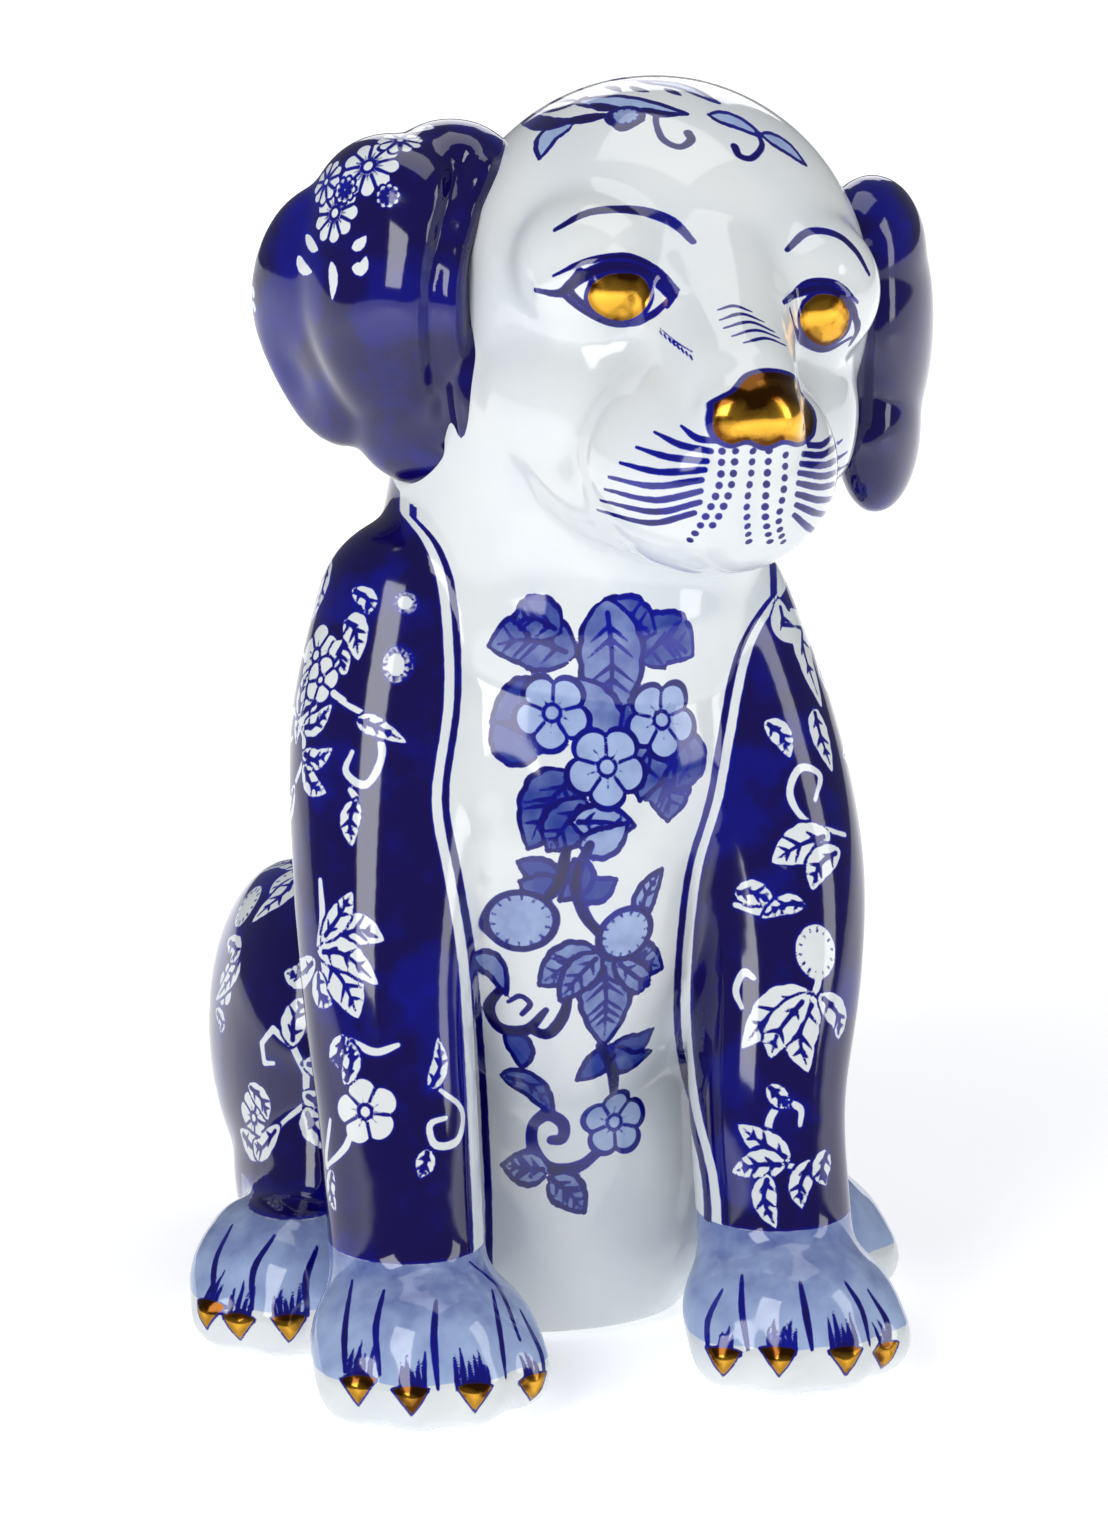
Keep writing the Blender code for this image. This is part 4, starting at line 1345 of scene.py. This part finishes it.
# Azimuth, height and size of the daisies that face away, on the right and the left ear.
SIDE_DAISIES = (((-120, 222, 5.4), (-135, 205, 4.6)),
                ((100, 212, 5.4), (85, 196, 4.6), (125, 200, 4.4)))
ear_paints = [Painting(ear_ground), Painting(ear_ground)]
ear_brushes = [Brush(painting, surface_of(ear)) for painting, ear in zip(ear_paints, ears)]
for point, size in DAISIES:
    ear_brushes[0].blossom(point, size, "reserve", petals=9, turn=0.2)
for spine, width in LOOSE_PETALS:
    ear_brushes[0].leaf(spine, width, "reserve", 0)
for ear_brush, daisies in zip(ear_brushes, SIDE_DAISIES):
    for azimuth, height, size in daisies:
        ear_brush.blossom(from_side(ear_brush.tree, azimuth, height), size, "reserve", petals=9)
print("ear marks", [len(painting.marks) for painting in ear_paints])

# %% [markdown]
# A painted edge is only as crisp as the corners around it, so edges near a mark are split
# once or twice before the distances are stored. New corners sit on straight edges, so the
# smooth normals of the clay are carried along and given to the finished mesh.

# %% Store the painting


def refine(obj, painting, bands, most):
    """Splits edges longer than each band's length near paint, while there is room."""
    bm = bmesh.new()
    bm.from_mesh(obj.data)
    bmesh.ops.triangulate(bm, faces=bm.faces)
    smooth = bm.verts.layers.float_vector.get("whole") or bm.verts.layers.float_vector.new("whole")
    for v in bm.verts:
        if v[smooth].length < 0.5:
            v[smooth] = v.normal
    for near, longest in bands:
        points = np.array([v.co for v in bm.verts])
        normals = np.array([v[smooth] for v in bm.verts])
        found = painting.fields(points, normals)
        gap = np.minimum(np.minimum(np.abs(found["cobalt"]), np.abs(found["wash"])),
                         np.abs(found["gold"]))
        bm.verts.index_update()
        chosen = [e for e in bm.edges
                  if min(gap[v.index] for v in e.verts) < near and e.calc_length() > longest * MM]
        room = max(0, (most - len(bm.faces)) // 2)
        if len(chosen) > room:
            chosen.sort(key=lambda e: -e.calc_length())
            chosen = chosen[:room]
        bmesh.ops.subdivide_edges(bm, edges=chosen, cuts=1, use_grid_fill=True)
        bmesh.ops.triangulate(bm, faces=[f for f in bm.faces if len(f.verts) > 3])
    points = np.array([v.co for v in bm.verts])
    normals = np.array([v[smooth].normalized() for v in bm.verts])
    found = painting.fields(points, normals)
    mesh = bpy.data.meshes.new(obj.name)
    bm.to_mesh(mesh)
    bm.free()
    return mesh, normals, found


def store(mesh, found):
    for name, values in found.items():
        layer = mesh.attributes.new(name, "FLOAT", "POINT")
        layer.data.foreach_set("value", np.clip(values, -2.0, 2.0).astype(np.float32))


def finish_piece(name, mesh, normals, finish):
    mesh.shade_smooth()
    mesh.normals_split_custom_set_from_vertices(normals.tolist())
    mesh.materials.clear()
    mesh.materials.append(finish)
    obj = link(name, mesh)
    print(name, len(mesh.polygons), "triangles")
    return obj


def part_of(obj, name, keep):
    """The faces of the skin whose middles pass the test, as a new object."""
    bm = bmesh.new()
    bm.from_mesh(obj.data)
    whole = bm.verts.layers.float_vector.new("whole")
    for v in bm.verts:
        v[whole] = v.normal
    unwanted = [f for f in bm.faces if not keep(f.calc_center_median())]
    bmesh.ops.delete(bm, geom=unwanted, context="FACES")
    mesh = bpy.data.meshes.new(name)
    bm.to_mesh(mesh)
    bm.free()
    return link(name, mesh)


SEAM_POINT = Vector((10, -20, 171)) * MM + Vector(shift)
SEAM_TILT = math.radians(14)
SEAM_LEAN = math.radians(4)
SEAM_TURN = Matrix.Rotation(SEAM_TILT, 3, "X") @ Matrix.Rotation(SEAM_LEAN, 3, "Y")
SEAM_NORMAL = SEAM_TURN @ Vector((0, 0, 1))


def above_seam(place):
    return (place - SEAM_POINT).dot(SEAM_NORMAL) > 0


def in_front(place):
    return place.y < 0.0


HEAD_CUT = part_of(skin, "head_cut", above_seam)
FRONT_CUT = part_of(skin, "front_cut", lambda place: not above_seam(place) and in_front(place))
BACK_CUT = part_of(skin, "back_cut", lambda place: not above_seam(place) and not in_front(place))
FINE = ((1.0, 0.75), (0.45, 0.38))
COARSE = ((0.8, 0.75), (0.4, 0.5))
MOST = 196000
PIECES = (
    ("head_skin", HEAD_CUT, head_paint, glaze, "head_casting", "white_glaze", FINE),
    ("torso_front_skin", FRONT_CUT, torso_paint, glaze, "torso_casting", "white_glaze", FINE),
    ("torso_back_skin", BACK_CUT, torso_paint, glaze, "torso_casting", "white_glaze", COARSE),
    ("ear_right_glaze", ears[0], ear_paints[0], ear_glaze, "ear_right", "cobalt_glaze", FINE),
    ("ear_left_glaze", ears[1], ear_paints[1], ear_glaze, "ear_left", "cobalt_glaze", COARSE),
)
for name, source, painting, finish, node, slot, bands in PIECES:
    mesh, normals, found = refine(source, painting, bands, MOST)
    store(mesh, found)
    piece = finish_piece(name, mesh, normals, finish)
    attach(piece, "bank")
    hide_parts(node)
    bpy.data.objects.remove(source)
bpy.data.objects.remove(skin)
